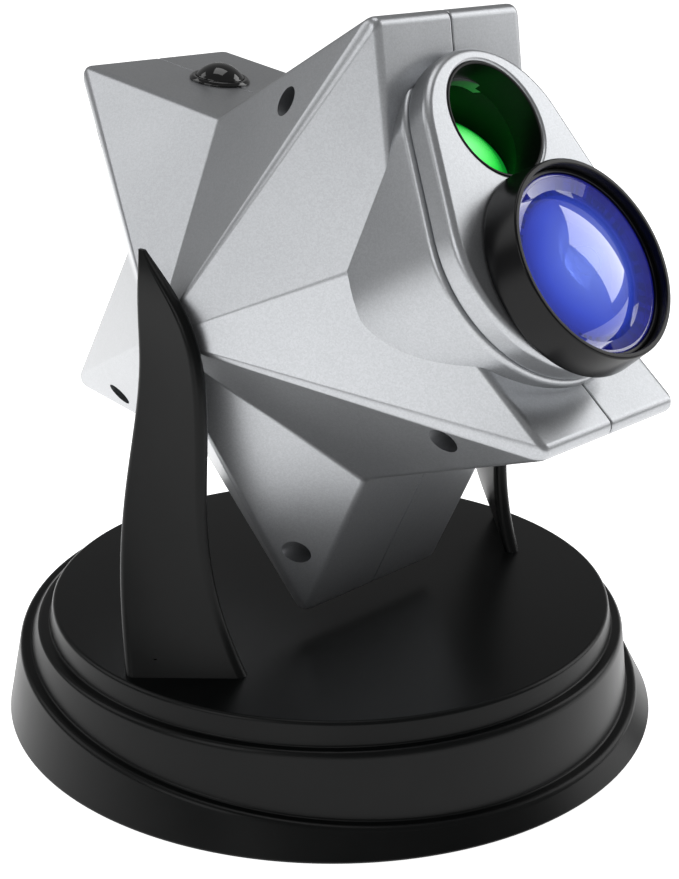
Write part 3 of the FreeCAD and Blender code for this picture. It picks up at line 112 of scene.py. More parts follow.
@dataclass(frozen=True)
class Finish:
    """A moulded, painted, turned or rubber surface with grain, colour variation and bump.

    Sizes are in millimetres: grain is the moulded texture, patch the slow colour drift.
    """

    name: str
    colour: str
    colour_worn: str
    roughness: float
    roughness_spread: float = 0.05
    metallic: float = 0.0
    ior: float = 1.5
    specular: float = 0.5
    coat: float = 0.0
    coat_roughness: float = 0.1
    grain: float = 0.5
    grain_depth: float = 0.01
    grain_strength: float = 0.2
    patch: float = 30.0
    flake: float = 0.0
    brushed: bool = False

    def material(self) -> bpy.types.Material:
        """Build the material once and give it back by name after that."""
        known = bpy.data.materials.get(self.name)
        if known:
            return known
        material = bpy.data.materials.new(self.name)
        material.use_nodes = True
        tree = material.node_tree
        shader = tree.nodes["Principled BSDF"]
        place = add_node(tree, "ShaderNodeTexCoord").outputs["Object"]
        if self.brushed:
            place = add_node(tree, "ShaderNodeMapping", inputs={
                "Vector": place, "Scale": (1, 1, 12)}).outputs[0]
        drift = add_node(tree, "ShaderNodeTexNoise", inputs={
            "Vector": place, "Scale": 1000 / self.patch, "Detail": 3.0, "Roughness": 0.55})
        fine = add_node(tree, "ShaderNodeTexNoise", inputs={
            "Vector": place, "Scale": 1000 / self.grain, "Detail": 2.0, "Roughness": 0.6})
        colour = ramp(tree, drift.outputs["Fac"], [(0.35, srgb(self.colour)), (0.75, srgb(self.colour_worn))])
        if self.flake:
            cells = add_node(tree, "ShaderNodeTexVoronoi", inputs={
                "Vector": place, "Scale": 1000 / self.flake})
            glint = ramp(tree, cells.outputs["Color"], [
                (0.2, (0.93, 0.93, 0.93, 1)), (0.9, (1.06, 1.06, 1.06, 1))])
            mix = add_node(tree, "ShaderNodeMix", {"data_type": "RGBA", "blend_type": "MULTIPLY"})
            mix.inputs[0].default_value = 1.0
            tree.links.new(colour, mix.inputs[6])
            tree.links.new(glint, mix.inputs[7])
            colour = mix.outputs[2]
        tree.links.new(colour, shader.inputs["Base Color"])
        rough = add_node(tree, "ShaderNodeMapRange", inputs={
            "Value": drift.outputs["Fac"], "To Min": self.roughness - self.roughness_spread,
            "To Max": self.roughness + self.roughness_spread})
        tree.links.new(rough.outputs["Result"], shader.inputs["Roughness"])
        bump = add_node(tree, "ShaderNodeBump", inputs={
            "Height": fine.outputs["Fac"], "Strength": self.grain_strength,
            "Distance": self.grain_depth * MM})
        tree.links.new(bump.outputs["Normal"], shader.inputs["Normal"])
        shader.inputs["Metallic"].default_value = self.metallic
        shader.inputs["IOR"].default_value = self.ior
        shader.inputs["Specular IOR Level"].default_value = self.specular
        shader.inputs["Coat Weight"].default_value = self.coat
        shader.inputs["Coat Roughness"].default_value = self.coat_roughness
        return material


@dataclass(frozen=True)
class TintedGlass:
    """Coloured glass whose tint is painted darker towards the rim as painted shade, and which glows with its
    own colour as painted light.
    """

    name: str
    middle: str
    ring: str
    rim: str
    centre: tuple[float, float, float]
    along: tuple[float, float, float]
    radius: float
    transmission: float
    painted_glow: float
    ior: float = 1.52

    def material(self) -> bpy.types.Material:
        """Build the material once and give it back by name after that."""
        known = bpy.data.materials.get(self.name)
        if known:
            return known
        material = bpy.data.materials.new(self.name)
        material.use_nodes = True
        tree = material.node_tree
        shader = tree.nodes["Principled BSDF"]
        place = add_node(tree, "ShaderNodeTexCoord").outputs["Object"]
        offset = add_node(tree, "ShaderNodeVectorMath", {"operation": "SUBTRACT"},
                          {0: place, 1: self.centre}).outputs[0]
        across = add_node(tree, "ShaderNodeVectorMath", {"operation": "CROSS_PRODUCT"},
                          {0: offset, 1: self.along}).outputs[0]
        reach = add_node(tree, "ShaderNodeVectorMath", {"operation": "LENGTH"}, {0: across}).outputs["Value"]
        share = add_node(tree, "ShaderNodeMapRange", inputs={
            "Value": reach, "From Min": 0.0, "From Max": self.radius}).outputs["Result"]
        cloud = add_node(tree, "ShaderNodeTexNoise", inputs={"Vector": place, "Scale": 60.0, "Detail": 1.0})
        warped = add_node(tree, "ShaderNodeMath", {"operation": "MULTIPLY_ADD"}, {
            0: cloud.outputs["Fac"], 1: 0.12, 2: share}).outputs[0]
        # Painted shade: the colour runs from the light middle to the dark rim, so shade is drawn into the
        # glass's own colour.
        colour = ramp(tree, warped, [
            (0.12, srgb(self.middle)), (0.72, srgb(self.ring)), (1.02, srgb(self.rim))])
        tree.links.new(colour, shader.inputs["Base Color"])
        # Painted light: the glass glows with the same colour, though it holds no lamp.
        tree.links.new(colour, shader.inputs["Emission Color"])
        shader.inputs["Emission Strength"].default_value = self.painted_glow
        shader.inputs["Transmission Weight"].default_value = self.transmission
        shader.inputs["Roughness"].default_value = 0.02
        shader.inputs["IOR"].default_value = self.ior
        shader.inputs["Coat Weight"].default_value = 1.0
        shader.inputs["Coat Roughness"].default_value = 0.01
        return material


# Satin metallic lacquer on moulded ABS: fine flakes, broad soft highlights. The real flakes are
# too small to show, so they are drawn at 0.35 mm.
SILVER_PAINT = Finish("metallic lacquer silver satin", "#A3A5A8", "#AEB0B3", 0.33, 0.03, metallic=0.85,
                      coat=0.2, coat_roughness=0.22, grain=0.8, grain_depth=0.008, grain_strength=0.08,
                      patch=60.0, flake=0.35)
# Moulded ABS with a fine spark-eroded grain: black with a soft grey sheen.
SATIN_ABS = Finish("ABS black satin grain", "#050606", "#0A0B0B", 0.31, 0.04, specular=0.15, grain=0.45,
                   grain_depth=0.02, grain_strength=0.35, patch=25.0)
# Smooth moulded ABS: tighter highlights than the grained parts.
SMOOTH_ABS = Finish("ABS black smooth", "#060607", "#0A0A0B", 0.24, 0.03, specular=0.2, grain=1.2,
                    grain_depth=0.006,
                    grain_strength=0.1, patch=20.0)
# Polished ABS: mirror-like black.
POLISHED_ABS = Finish("ABS black polished", "#040405", "#070708", 0.07, 0.02, specular=0.4, coat=0.3,
                      coat_roughness=0.03,
                      grain=4.0, grain_depth=0.004, grain_strength=0.05, patch=12.0)
# Cast rubber, dull and slightly dusty.
RUBBER = Finish("rubber black matt", "#161616", "#232323", 0.85, 0.05, ior=1.52, grain=0.4,
                grain_depth=0.03, grain_strength=0.5, patch=9.0)
ZINC_STEEL = Finish("steel zinc plated", "#A8ABAF", "#C3C5C8", 0.28, 0.08, metallic=1.0, grain=0.25,
                    grain_depth=0.01, grain_strength=0.3, patch=3.0, brushed=True)
TURNED_BRASS = Finish("brass turned", "#B08A3C", "#C9A455", 0.25, 0.06, metallic=1.0, grain=0.2,
                      grain_depth=0.01, grain_strength=0.3, patch=4.0, brushed=True)
EXTRUDED_ALUMINIUM = Finish("aluminium extruded", "#A9ABAD", "#B9BBBD", 0.38, 0.08, metallic=1.0, grain=0.25,
                            grain_depth=0.01, grain_strength=0.3, patch=5.0, brushed=True)
BOARD = Finish("fibreglass board green mask", "#0F3B22", "#16502F", 0.35, 0.06, grain=0.6, grain_depth=0.01,
               patch=4.0)
CLEAR_WHEEL = Finish("acrylic moulded", "#C9D2D8", "#DDE3E6", 0.12, 0.04, ior=1.49, grain=2.0,
                     grain_depth=0.005, patch=6.0)

DRESS = {
    "base_plate": SATIN_ABS, "non_slip_pad": RUBBER, "base_screws": ZINC_STEEL, "ballast_weight": ZINC_STEEL,
    "left_arm": SATIN_ABS, "right_arm": SATIN_ABS, "arm_screws": ZINC_STEEL, "friction_washers": RUBBER,
    "retaining_washers": ZINC_STEEL, "pivot_screws": ZINC_STEEL, "shell_screws": ZINC_STEEL,
    "base_shell": SATIN_ABS, "left_shell": SILVER_PAINT, "right_shell": SILVER_PAINT,
    "nose_housing": SILVER_PAINT, "front_plate": SILVER_PAINT, "port_liner": SMOOTH_ABS,
    "laser_recess": SMOOTH_ABS, "laser_module": TURNED_BRASS, "button_bezel": POLISHED_ABS,
    "button_cap": POLISHED_ABS, "tact_switch": SMOOTH_ABS, "switch_board": BOARD, "power_inlet": SMOOTH_ABS,
    "optics_frame": SMOOTH_ABS, "axle_bushes": TURNED_BRASS, "drive_motor": ZINC_STEEL, "led_board": BOARD,
    "led_emitter": CLEAR_WHEEL, "led_heat_sink": EXTRUDED_ALUMINIUM, "condenser_tube": EXTRUDED_ALUMINIUM,
    "condenser_lens": CLEAR_WHEEL, "main_board": BOARD, "board_parts": SMOOTH_ABS, "focus_ring": SMOOTH_ABS,
    "lens_cell": SMOOTH_ABS, "star_wheel": CLEAR_WHEEL, "star_axle": ZINC_STEEL, "cloud_wheel": CLEAR_WHEEL,
    "cloud_axle": ZINC_STEEL, "motor_pinion": TURNED_BRASS, "motor_shaft": ZINC_STEEL,
}


# ---------------------------------------------------------------- mesh helpers
def piece(name: str, mesh: bpy.types.Mesh, material: bpy.types.Material, body: str,
          nodes: Iterable[str] = (), smooth_angle: float = 35.0) -> bpy.types.Object:
    """Turn a mesh into a finished piece that rides on a body.

    Args:
        name: the piece's name.
        mesh: its mesh, in the row frame.
        material: its finish.
        body: the body that it rides on.
        nodes: CAD nodes that it stands for.
        smooth_angle: edges sharper than this, in degrees, stay hard.

    Returns:
        The new object.
    """
    thing = bpy.data.objects.new(name, mesh)
    bpy.context.scene.collection.objects.link(thing)
    mesh.materials.clear()
    mesh.materials.append(material)
    mesh.shade_smooth()
    mesh.set_sharp_from_angle(angle=math.radians(smooth_angle))
    even = thing.modifiers.new("even normals", "WEIGHTED_NORMAL")
    even.keep_sharp = True
    even.weight = 90
    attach(thing, body)
    if nodes:
        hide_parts(*nodes)
    LOG.info("%s: %d faces on %s", name, len(mesh.polygons), body)
    return thing


def loft(name: str, rings: Sequence[Sequence[Vector]], place: Matrix, closed: bool = False) -> bpy.types.Mesh:
    """Skin equal rings of points with quads, and cap both ends unless the rings close on themselves.

    Args:
        name: the mesh's name.
        rings: rings of points in the piece's own frame.
        place: the piece's place in the row frame.
        closed: join the last ring to the first instead of capping.

    Returns:
        The mesh.
    """
    made = bmesh.new()
    rows = [[made.verts.new(place @ point) for point in ring] for ring in rings]
    pairs = list(zip(rows, rows[1:])) + ([(rows[-1], rows[0])] if closed else [])
    for low, high in pairs:
        for i in range(len(low)):
            j = (i + 1) % len(low)
            made.faces.new((low[i], low[j], high[j], high[i]))
    if not closed:
        made.faces.new(list(reversed(rows[0])))
        made.faces.new(rows[-1])
    bmesh.ops.recalc_face_normals(made, faces=made.faces)
    mesh = bpy.data.meshes.new(name)
    made.to_mesh(mesh)
    made.free()
    return mesh


def rounded(corners: Sequence[tuple[float, float]], radii: Sequence[float], steps: int = 5,
            ring: bool = True) -> list[tuple[float, float]]:
    """Round the corners of an outline with arcs that touch both sides.

    Args:
        corners: the outline's corners.
        radii: radius at each corner.
        steps: spans in each arc.
        ring: the outline closes on itself.

    Returns:
        Points of the rounded outline, steps + 1 for each corner.
    """
    out: list[tuple[float, float]] = []
    count = len(corners)
    for i, (corner, radius) in enumerate(zip(corners, radii)):
        here = Vector(corner)
        if not ring and i in (0, count - 1):
            out.append(corner)
            continue
        back = (Vector(corners[i - 1]) - here)
        ahead = (Vector(corners[(i + 1) % count]) - here)
        half = back.angle(ahead) / 2
        reach = min(radius / math.tan(half), 0.45 * min(back.length, ahead.length)) if radius else 0.0
        if reach < 1e-6:
            out.extend([corner] * (steps + 1 if ring else 1))
            continue
        size = reach * math.tan(half)
        centre = here + (back.normalized() + ahead.normalized()).normalized() * (size / math.sin(half))
        start = here + back.normalized() * reach - centre
        turn = math.pi - 2 * half
        sign = 1 if back.x * ahead.y - back.y * ahead.x < 0 else -1
        for k in range(steps + 1):
            angle = sign * turn * k / steps
            out.append((centre.x + start.x * math.cos(angle) - start.y * math.sin(angle),
                        centre.y + start.x * math.sin(angle) + start.y * math.cos(angle)))
    return out


def turned(name: str, profile: Sequence[tuple[float, float]], place: Matrix, segments: int = 128,
           closed: bool = True) -> bpy.types.Mesh:
    """Turn a profile of (radius, distance) pairs in millimetres about the local Z axis.

    Args:
        name: the mesh's name.
        profile: outline of the section; radius must stay above nought.
        place: place of the piece's axis in the row frame.
        segments: steps round the axis.
        closed: the profile closes on itself, as a ring's does.

    Returns:
        The mesh.
    """
    rings = []
    for radius, along in profile:
        rings.append([Vector((radius * math.cos(a), radius * math.sin(a), along)) * MM
                      for a in (2 * math.pi * k / segments for k in range(segments))])
    return loft(name, rings, place, closed)


def carve(mesh: bpy.types.Mesh, tools: Sequence[bpy.types.Mesh],
          operation: str = "DIFFERENCE") -> bpy.types.Mesh:
    """Cut tools out of a mesh, or join them to it, one after another.

    Args:
        mesh: the mesh to work on.
        tools: closed meshes.
        operation: the boolean's name.

    Returns:
        A new mesh.
    """
    work = bpy.data.objects.new("work", mesh)
    bpy.context.scene.collection.objects.link(work)
    helpers = []
    for tool in tools:
        helper = bpy.data.objects.new("tool", tool)
        bpy.context.scene.collection.objects.link(helper)
        helpers.append(helper)
        step = work.modifiers.new("cut", "BOOLEAN")
        step.operation = operation
        step.solver = "EXACT"
        step.object = helper
    bpy.context.view_layer.update()
    result = bpy.data.meshes.new_from_object(work.evaluated_get(bpy.context.evaluated_depsgraph_get()))
    for thing in [work] + helpers:
        bpy.data.objects.remove(thing)
    return result


# ---------------------------------------------------------------- frames of the head
@dataclass(frozen=True)
class HeadFrame:
    """Where the head hangs: x across, y up the nose plate, z out of the nose, in millimetres."""

    pivot_y: float = 1.7
    pivot_height: float = 121.2
    nose_elevation: float = 33.7

    def place(self) -> Matrix:
        """Row-frame place of the head's own frame."""
        return (Matrix.Translation(Vector((0, self.pivot_y, self.pivot_height)) * MM)
                @ Matrix.Rotation(math.radians(90 - self.nose_elevation), 4, "X"))

    def at(self, height: float, out: float = 0.0, turn: float = 0.0) -> Matrix:
        """Place on the mid-plane, with a turn about the tilt axis's direction.

        Args:
            height: up the nose plate, in millimetres.
            out: along the nose, in millimetres.
            turn: degrees about X.

        Returns:
            Row-frame place.
        """
        return (self.place() @ Matrix.Translation(Vector((0, height, out)) * MM)
                @ Matrix.Rotation(math.radians(turn), 4, "X"))


HEAD = HeadFrame()


@dataclass(frozen=True)
class Corner:
    """Corner of the star outline: radius in millimetres and degrees up from the nose axis."""

    radius: float
    angle: float

    def point(self, inset: float = 0.0) -> Vector:
        """(height, out) of the corner, moved in by inset."""
        r = self.radius - inset
        return Vector((r * math.sin(math.radians(self.angle)), r * math.cos(math.radians(self.angle))))


# ---------------------------------------------------------------- star body
@dataclass
class StarBody:
    """Two moulded half shells of a five-pointed star with pyramid sides."""

    tips: list[Corner] = field(default_factory=lambda: [
        Corner(91.0, 29.3), Corner(94.5, 108.0), Corner(91.7, 171.5),
        Corner(86.0, 247.9), Corner(100.8, 317.4)])
    notches: list[Corner] = field(default_factory=lambda: [
        Corner(52.3, 72.6), Corner(55.4, 138.5), Corner(51.8, 210.5),
        Corner(54.7, 283.5), Corner(55.4, -8.1)])
    screws: list[Corner] = field(default_factory=lambda: [
        Corner(60.6, 40.0), Corner(72.0, 113.0), Corner(64.3, 179.0),
        Corner(65.3, 253.8), Corner(73.3, 313.4)])
    rim: float = 26.5
    apex: float = 62.4
    side: float = 58.4
    seam_gap: float = 0.12
    seam_round: float = 0.55
    tip_round: float = 2.6
    notch_round: float = 3.0
    rim_soften: float = 1.8
    wall: float = 2.6

    def outline(self, scale: float, tip_inset: float = 0.0,
                notch_inset: float = 0.0) -> list[tuple[float, float]]:
        """Rounded star at one station.

        Args:
            scale: size against the rim's outline.
            tip_inset: tips moved in by this.
            notch_inset: valleys moved in by this.

        Returns:
            (height, out) pairs in millimetres.
        """
        corners: list[tuple[float, float]] = []
        radii: list[float] = []
        for tip, notch in zip(self.tips, self.notches):
            corners.extend([tuple(tip.point(tip_inset) * scale), tuple(notch.point(notch_inset) * scale)])
            softer = scale ** 0.6
            radii.extend([self.tip_round * softer, self.notch_round * softer])
        return rounded(corners, radii, 6)

    def stations(self, rim: float, side: float, apex: float, seam: bool) -> list[tuple[float, float]]:
        """Distance from the mid-plane and scale of each outline.

        Args:
            rim: half width of the flat rim.
            side: reach of the cut-off apex.
            apex: reach of the virtual apex.
            seam: round the edge at the mid-plane.

        Returns:
            (reach, scale) pairs from the mid-plane outwards.
        """
        slope = 1 / (apex - rim)
        rows = [(-1.0, 1.0)]
        if seam:
            rows = [(self.seam_gap, 1 - self.seam_round / 70),
                    (self.seam_gap + 0.1, 1 - 0.3 * self.seam_round / 70),
                    (self.seam_gap + self.seam_round, 1.0)]
        before, after = rim - self.rim_soften, rim + 0.45 * self.rim_soften
        for k in range(7):
            t = k / 6
            reach = (1 - t) ** 2 * before + 2 * t * (1 - t) * rim + t ** 2 * after
            rows.append((reach, 1 - t ** 2 * (after - rim) * slope))
        rows.append((side - 1.2, (apex - side + 1.2) * slope))
        rows.append((side - 0.5, (apex - side + 0.35) * slope))
        rows.append((side, (apex - side - 0.4) * slope))
        return rows

    def solid(self, name: str, sign: int, rows: Sequence[tuple[float, float]], tip_inset: float,
              notch_inset: float) -> bpy.types.Mesh:
        """Half star through the given stations.

        Args:
            name: the mesh's name.
            sign: -1 for the left half, 1 for the right.
            rows: (reach, scale) pairs.
            tip_inset: tips moved in by this.
            notch_inset: valleys moved in by this.

        Returns:
            The mesh.
        """
        rings = []
        for reach, scale in rows:
            rings.append([Vector((sign * reach, up, out)) * MM
                          for up, out in self.outline(scale, tip_inset, notch_inset)])
        return loft(name, rings, HEAD.place())

    def cross_rod(self, radius: float, spot: Vector, start: float, stop: float,
                  segments: int = 40) -> bpy.types.Mesh:
        """Rod along the tilt axis's direction.

        Args:
            radius: in millimetres.
            spot: (height, out) of its axis.
            start: end nearest the left side.
            stop: other end.
            segments: steps round it.

        Returns:
            The mesh.
        """
        place = HEAD.at(spot.x, spot.y) @ Matrix.Rotation(math.radians(90), 4, "Y")
        return turned("rod", [(radius, start), (radius, stop)], place, segments, closed=False)

    def facet(self, first: Corner, second: Corner, share: float) -> Matrix:
        """Place on the flat between two corners, its Z out of the flat.

        Args:
            first: corner the share is counted from.
            second: corner the share runs to.
            share: nought to one.

        Returns:
            Row-frame place.
        """
        a, b = first.point(), second.point()
        spot = a.lerp(b, share)
        return HEAD.at(spot.x, spot.y, -math.degrees(math.atan2(a.y - b.y, b.x - a.x)))

    def build(self, opening: bpy.types.Mesh, button: Matrix, inlet: Matrix) -> None:
        """Make both shells.

        Args:
            opening: cutter for the nose opening.
            button: place of the button.
            inlet: place of the power inlet.
        """
        for side, sign in (("left", -1), ("right", 1)):
            rows = self.stations(self.rim, self.side, self.apex, True)
            outer = self.solid(side + "_star_outer", sign, rows, 0.0, 0.0)
            inner_rows = self.stations(self.rim - 1, self.side - self.wall,
                                       self.apex - 1.2 * self.wall, False)
            inner = self.solid(side + "_star_inner", sign, inner_rows, 5.0, 3.0)
            posts = [self.cross_rod(5.0, screw.point(), sign * 0.4, sign * 60.0) for screw in self.screws]
            hub = self.cross_rod(8.0, Vector((0, 0)), sign * 49.4, sign * 60.0)
            cavity = carve(inner, posts + [hub])
            tools = [cavity, opening,
                     turned("button_hole", [(7.85, -13.0), (7.85, 9.0)], button, 48, closed=False),
                     turned("inlet_hole", [(4.75, -9.0), (4.75, 9.0)], inlet, 40, closed=False),
                     self.cross_rod(4.6, Vector((0, 0)), sign * 45.0, sign * 62.0)]
            if sign < 0:
                for screw in self.screws:
                    tools.append(self.cross_rod(3.4, screw.point(), -62.0, -12.0))
            shell = carve(outer, tools)
            piece("star_shell_" + side, shell, SILVER_PAINT.material(), "head",
                  [side + "_shell"], 32)


@dataclass
class Egg:
    """Outline of the nose plate: a small round end above a big one, joined by straight sides."""

    top_height: float = 8.4
    top_radius: float = 25.2
    low_height: float = -19.5
    low_radius: float = 32.7

    def outline(self, growth: float, steps: int = 40) -> list[tuple[float, float]]:
        """Points round the egg, moved outwards by growth.

        Args:
            growth: offset in millimetres.
            steps: spans in each round end.

        Returns:
            (across, height) pairs.
        """
        lean = math.asin((self.low_radius - self.top_radius) / (self.top_height - self.low_height))
        points = []
        ends = ((self.top_height, self.top_radius + growth, lean, math.pi - lean),
                (self.low_height, self.low_radius + growth, math.pi - lean, 2 * math.pi + lean))
        for height, radius, start, stop in ends:
            for k in range(steps + 1):
                angle = start + (stop - start) * k / steps
                points.append((radius * math.cos(angle), height + radius * math.sin(angle)))
        return points

    def prism(self, name: str, rows: Sequence[tuple[float, float]]) -> bpy.types.Mesh:
        """Solid through egg outlines.

        Args:
            name: the mesh's name.
            rows: (distance along the nose, growth) pairs.

        Returns:
            The mesh.
        """
        rings = [[Vector((x, y, along)) * MM for x, y in self.outline(growth)] for along, growth in rows]
        return loft(name, rings, HEAD.place())


@dataclass
class Nose:
    """Nose housing and the egg-shaped plate on its front."""

    egg: Egg = field(default_factory=Egg)
    foot: float = 44.0
    plate_rear: float = 71.5
    plate_face: float = 78.5
    flare: float = 3.6
    step: float = 1.0
    edge_round: float = 2.0
    lens_height: float = -27.6
    lens_bore: float = 19.05
    recess_radius: float = 21.25
    recess_depth: float = 3.0
    port_height: float = 14.1
    port_radius: float = 15.6

    def opening(self) -> bpy.types.Mesh:
        """Cutter for the star shells behind the nose."""
        return self.egg.prism("opening", [(20.0, -5.5), (70.9, -5.5), (71.0, -0.6), (112.0, -0.6)])

    def build(self) -> None:
        """Make the housing and the plate with their rounded edges."""
        drop = (self.flare - self.step) / (self.plate_rear - self.foot)
        wall = [(self.foot, self.flare), (self.plate_rear - 1.6, self.step + 1.6 * drop),
                (self.plate_rear - 0.7, self.step - 0.1), (self.plate_rear - 0.2, self.step - 0.55),
                (self.plate_rear, self.step - 1.1)]
        body = self.egg.prism("nose_body", wall)
        hollow = self.egg.prism("nose_hollow", [(self.foot - 1, self.flare - 2.5), (self.plate_rear - 2.5,
                                                                                    self.step - 2.5)])
        port = turned("port", [(self.port_radius + 0.1, 30.0), (self.port_radius + 0.1, 90.0)],
                      HEAD.at(self.port_height), 96, closed=False)
        bore = turned("bore", [(self.lens_bore, 30.0), (self.lens_bore, 90.0)], HEAD.at(self.lens_height), 96,
                      closed=False)
        housing = carve(body, [hollow, port, bore])
        piece("nose_shroud", housing, SILVER_PAINT.material(), "head", ["nose_housing"], 32)
        face = [(self.plate_rear, -0.5), (self.plate_rear + 0.35, -0.1), (self.plate_rear + 0.8, 0.0)]
        for k in range(9):
            angle = math.radians(90 * k / 8)
            face.append((self.plate_face - self.edge_round * (1 - math.sin(angle)),
                         -self.edge_round * (1 - math.cos(angle))))
        plate = self.egg.prism("nose_plate_blank", face)
        recess = turned("recess", [(self.recess_radius, self.plate_face - self.recess_depth),
                                   (self.recess_radius, 90.0)], HEAD.at(self.lens_height), 96, closed=False)
        mouth = turned("mouth", [(self.port_radius, 30.0), (self.port_radius, self.plate_face - 1.0),
                                 (self.port_radius + 0.12, self.plate_face - 0.5),
                                 (self.port_radius + 0.5, self.plate_face - 0.12),
                                 (self.port_radius + 1.0, self.plate_face + 0.001),
                                 (self.port_radius + 1.0, 90.0)], HEAD.at(self.port_height), 96, closed=False)
        plate = carve(plate, [mouth, bore.copy(), recess])
        piece("nose_plate", plate, SILVER_PAINT.material(), "head", ["front_plate"], 32)


# ---------------------------------------------------------------- lens and focus ring
def arc_cap(radius: float, foot: float, top: float, steps: int) -> list[tuple[float, float]]:
    """Section of a spherical cap from its foot circle to near its top.

    Args:
        radius: foot circle's radius.
        foot: foot circle's distance along the axis.
        top: top's distance along the axis.
        steps: spans.

    Returns:
        (radius, distance) pairs.
    """
    rise = top - foot
    ball = (radius ** 2 + rise ** 2) / (2 * abs(rise))
    half = math.asin(min(1.0, radius / ball))
    sign = 1 if rise > 0 else -1
    points = []
    for k in range(steps + 1):
        angle = half * (1 - k / steps)
        points.append((max(ball * math.sin(angle), 0.02), top - sign * ball * (1 - math.cos(angle))))
    return points


@dataclass
class LensGroup:
    """Focus ring, the cell that slides in it, and the blue lens."""

    height: float = -27.6
    face: float = 78.5
    front: float = 88.6

    def build(self) -> None:
        """Make the three pieces."""
        place = HEAD.at(self.height)
        ring = rounded([(19.05, 75.6), (21.2, 75.6), (21.2, 78.8), (27.0, 78.8), (27.0, 79.8), (25.8, 88.6),
                        (24.4, 88.6), (24.4, 79.5), (19.05, 79.5)],
                       [0.2, 0.2, 0.1, 0.5, 0.3, 0.55, 0.3, 0.3, 0.1], 4)
        piece("focus_ring_moulding", turned("focus_ring", ring, place), SMOOTH_ABS.material(), "focus_ring",
              ["focus_ring"], 50)
        cell = rounded([(17.6, 56.0), (19.0, 56.0), (19.0, 81.0), (24.33, 81.0), (24.33, 86.0), (23.3, 86.0),
                        (23.3, 82.2), (17.6, 82.2)], [0.2, 0.2, 0.2, 0.2, 0.3, 0.2, 0.1, 0.2], 3)
        piece("lens_cup", turned("lens_cup", cell, place), SMOOTH_ABS.material(), "lens_slide",
              ["lens_cell"], 50)
        front = arc_cap(19.6, 83.7, 88.6, 24)
        back = list(reversed(arc_cap(17.4, 82.2, 78.6, 16)))
        section = (back + rounded([(17.4, 82.2), (23.25, 82.2), (23.25, 85.4), (22.4, 85.4), (19.6, 83.7)],
                                  [0.0, 0.2, 0.35, 0.6, 0.0], 4, ring=False)[1:-1] + front)
        centre = HEAD.at(self.height, 80.0).translation
        along = HEAD.place().to_3x3() @ Vector((0, 0, 1))
        # Painted shade and painted light: the cobalt glass is painted darker towards its rim and glows
        # faintly with its own colour.
        glass = TintedGlass("glass cobalt pressed", "#8FA8F5", "#4560DC", "#23279A", tuple(centre),
                            tuple(along), radius=0.0235, transmission=0.62, painted_glow=0.2)
        piece("blue_lens_glass", turned("blue_lens", section, place, 160, closed=False), glass.material(),
              "lens_slide", ["blue_lens"], 25)
        # Bright reflector cone behind the lens: its light fills the glass from behind.
        cone = [(17.3, 81.9), (17.3, 76.0), (9.0, 58.0), (9.0, 57.4), (17.5, 57.4), (17.5, 81.9)]
        reflector = Finish("aluminium vapour coated", "#DCE3F2", "#EEF2FA", 0.2, 0.03, metallic=1.0,
                           grain=1.0)
        piece("lamp_reflector", turned("lamp_reflector", cone, place, 96), reflector.material(), "lens_slide")


# ---------------------------------------------------------------- laser port
@dataclass
class LaserPort:
    """Black liner, tipped recess and the domed green window deep inside."""

    height: float = 14.1
    wall_rear: float = 69.0
    face: float = 78.5
    bore: float = 14.8
    pitch: float = 20.0

    def build(self) -> None:
        """Make the liner and the window; the recess keeps its moulded shape."""
        liner = rounded([(14.8, 69.0), (15.6, 69.0), (15.6, 78.2), (14.8, 78.2)], [0.05, 0.05, 0.25, 0.3], 4)
        piece("port_sleeve", turned("port_sleeve", liner, HEAD.at(self.height)), SATIN_ABS.material(), "head",
              ["port_liner"], 50)
        place = HEAD.at(self.height, self.wall_rear, -self.pitch)
        dome = arc_cap(14.0, -7.4, -2.6, 20)
        section = [(0.02, -9.0), (14.75, -9.0), (14.75, -7.55), (14.6, -7.4)] + dome
        centre = place.translation
        along = place.to_3x3() @ Vector((0, 0, 1))
        # Painted shade and painted light: the green acrylic is painted darker towards its rim and glows
        # brightly with its own colour, though no lamp is lit behind it.
        glass = TintedGlass("acrylic green dome", "#8CFF9C", "#2FE04E", "#0A7A26", tuple(centre),
                            tuple(along), radius=0.0150, transmission=0.1, painted_glow=0.95, ior=1.49)
        piece("green_window_dome", turned("green_window", section, place, 128, closed=False),
              glass.material(), "head", ["green_window"], 25)


# ---------------------------------------------------------------- button and inlet
@dataclass
class Button:
    """Domed push button in its flange."""

    place: Matrix

    def build(self) -> None:
        """Make the flange and the cap."""
        flange = rounded([(6.9, -6.0), (7.7, -6.0), (7.7, 0.0), (8.6, 0.0), (8.6, 0.5), (7.9, 1.2),
                          (6.9, 1.2)],
                         [0.1, 0.1, 0.05, 0.1, 0.4, 0.4, 0.35], 4)
        piece("button_flange", turned("button_flange", flange, self.place, 96), POLISHED_ABS.material(),
              "head", ["button_bezel"], 50)
        dome = arc_cap(6.55, 1.5, 4.8, 14)
        cap = [(0.02, -8.0), (2.0, -8.0), (2.0, -7.6), (7.5, -7.6), (7.5, -6.3), (6.8, -6.3), (6.8, 1.1),
               (6.75, 1.35)] + dome
        piece("button_dome", turned("button_dome", cap, self.place, 96, closed=False),
              POLISHED_ABS.material(), "button", ["button_cap"], 50)


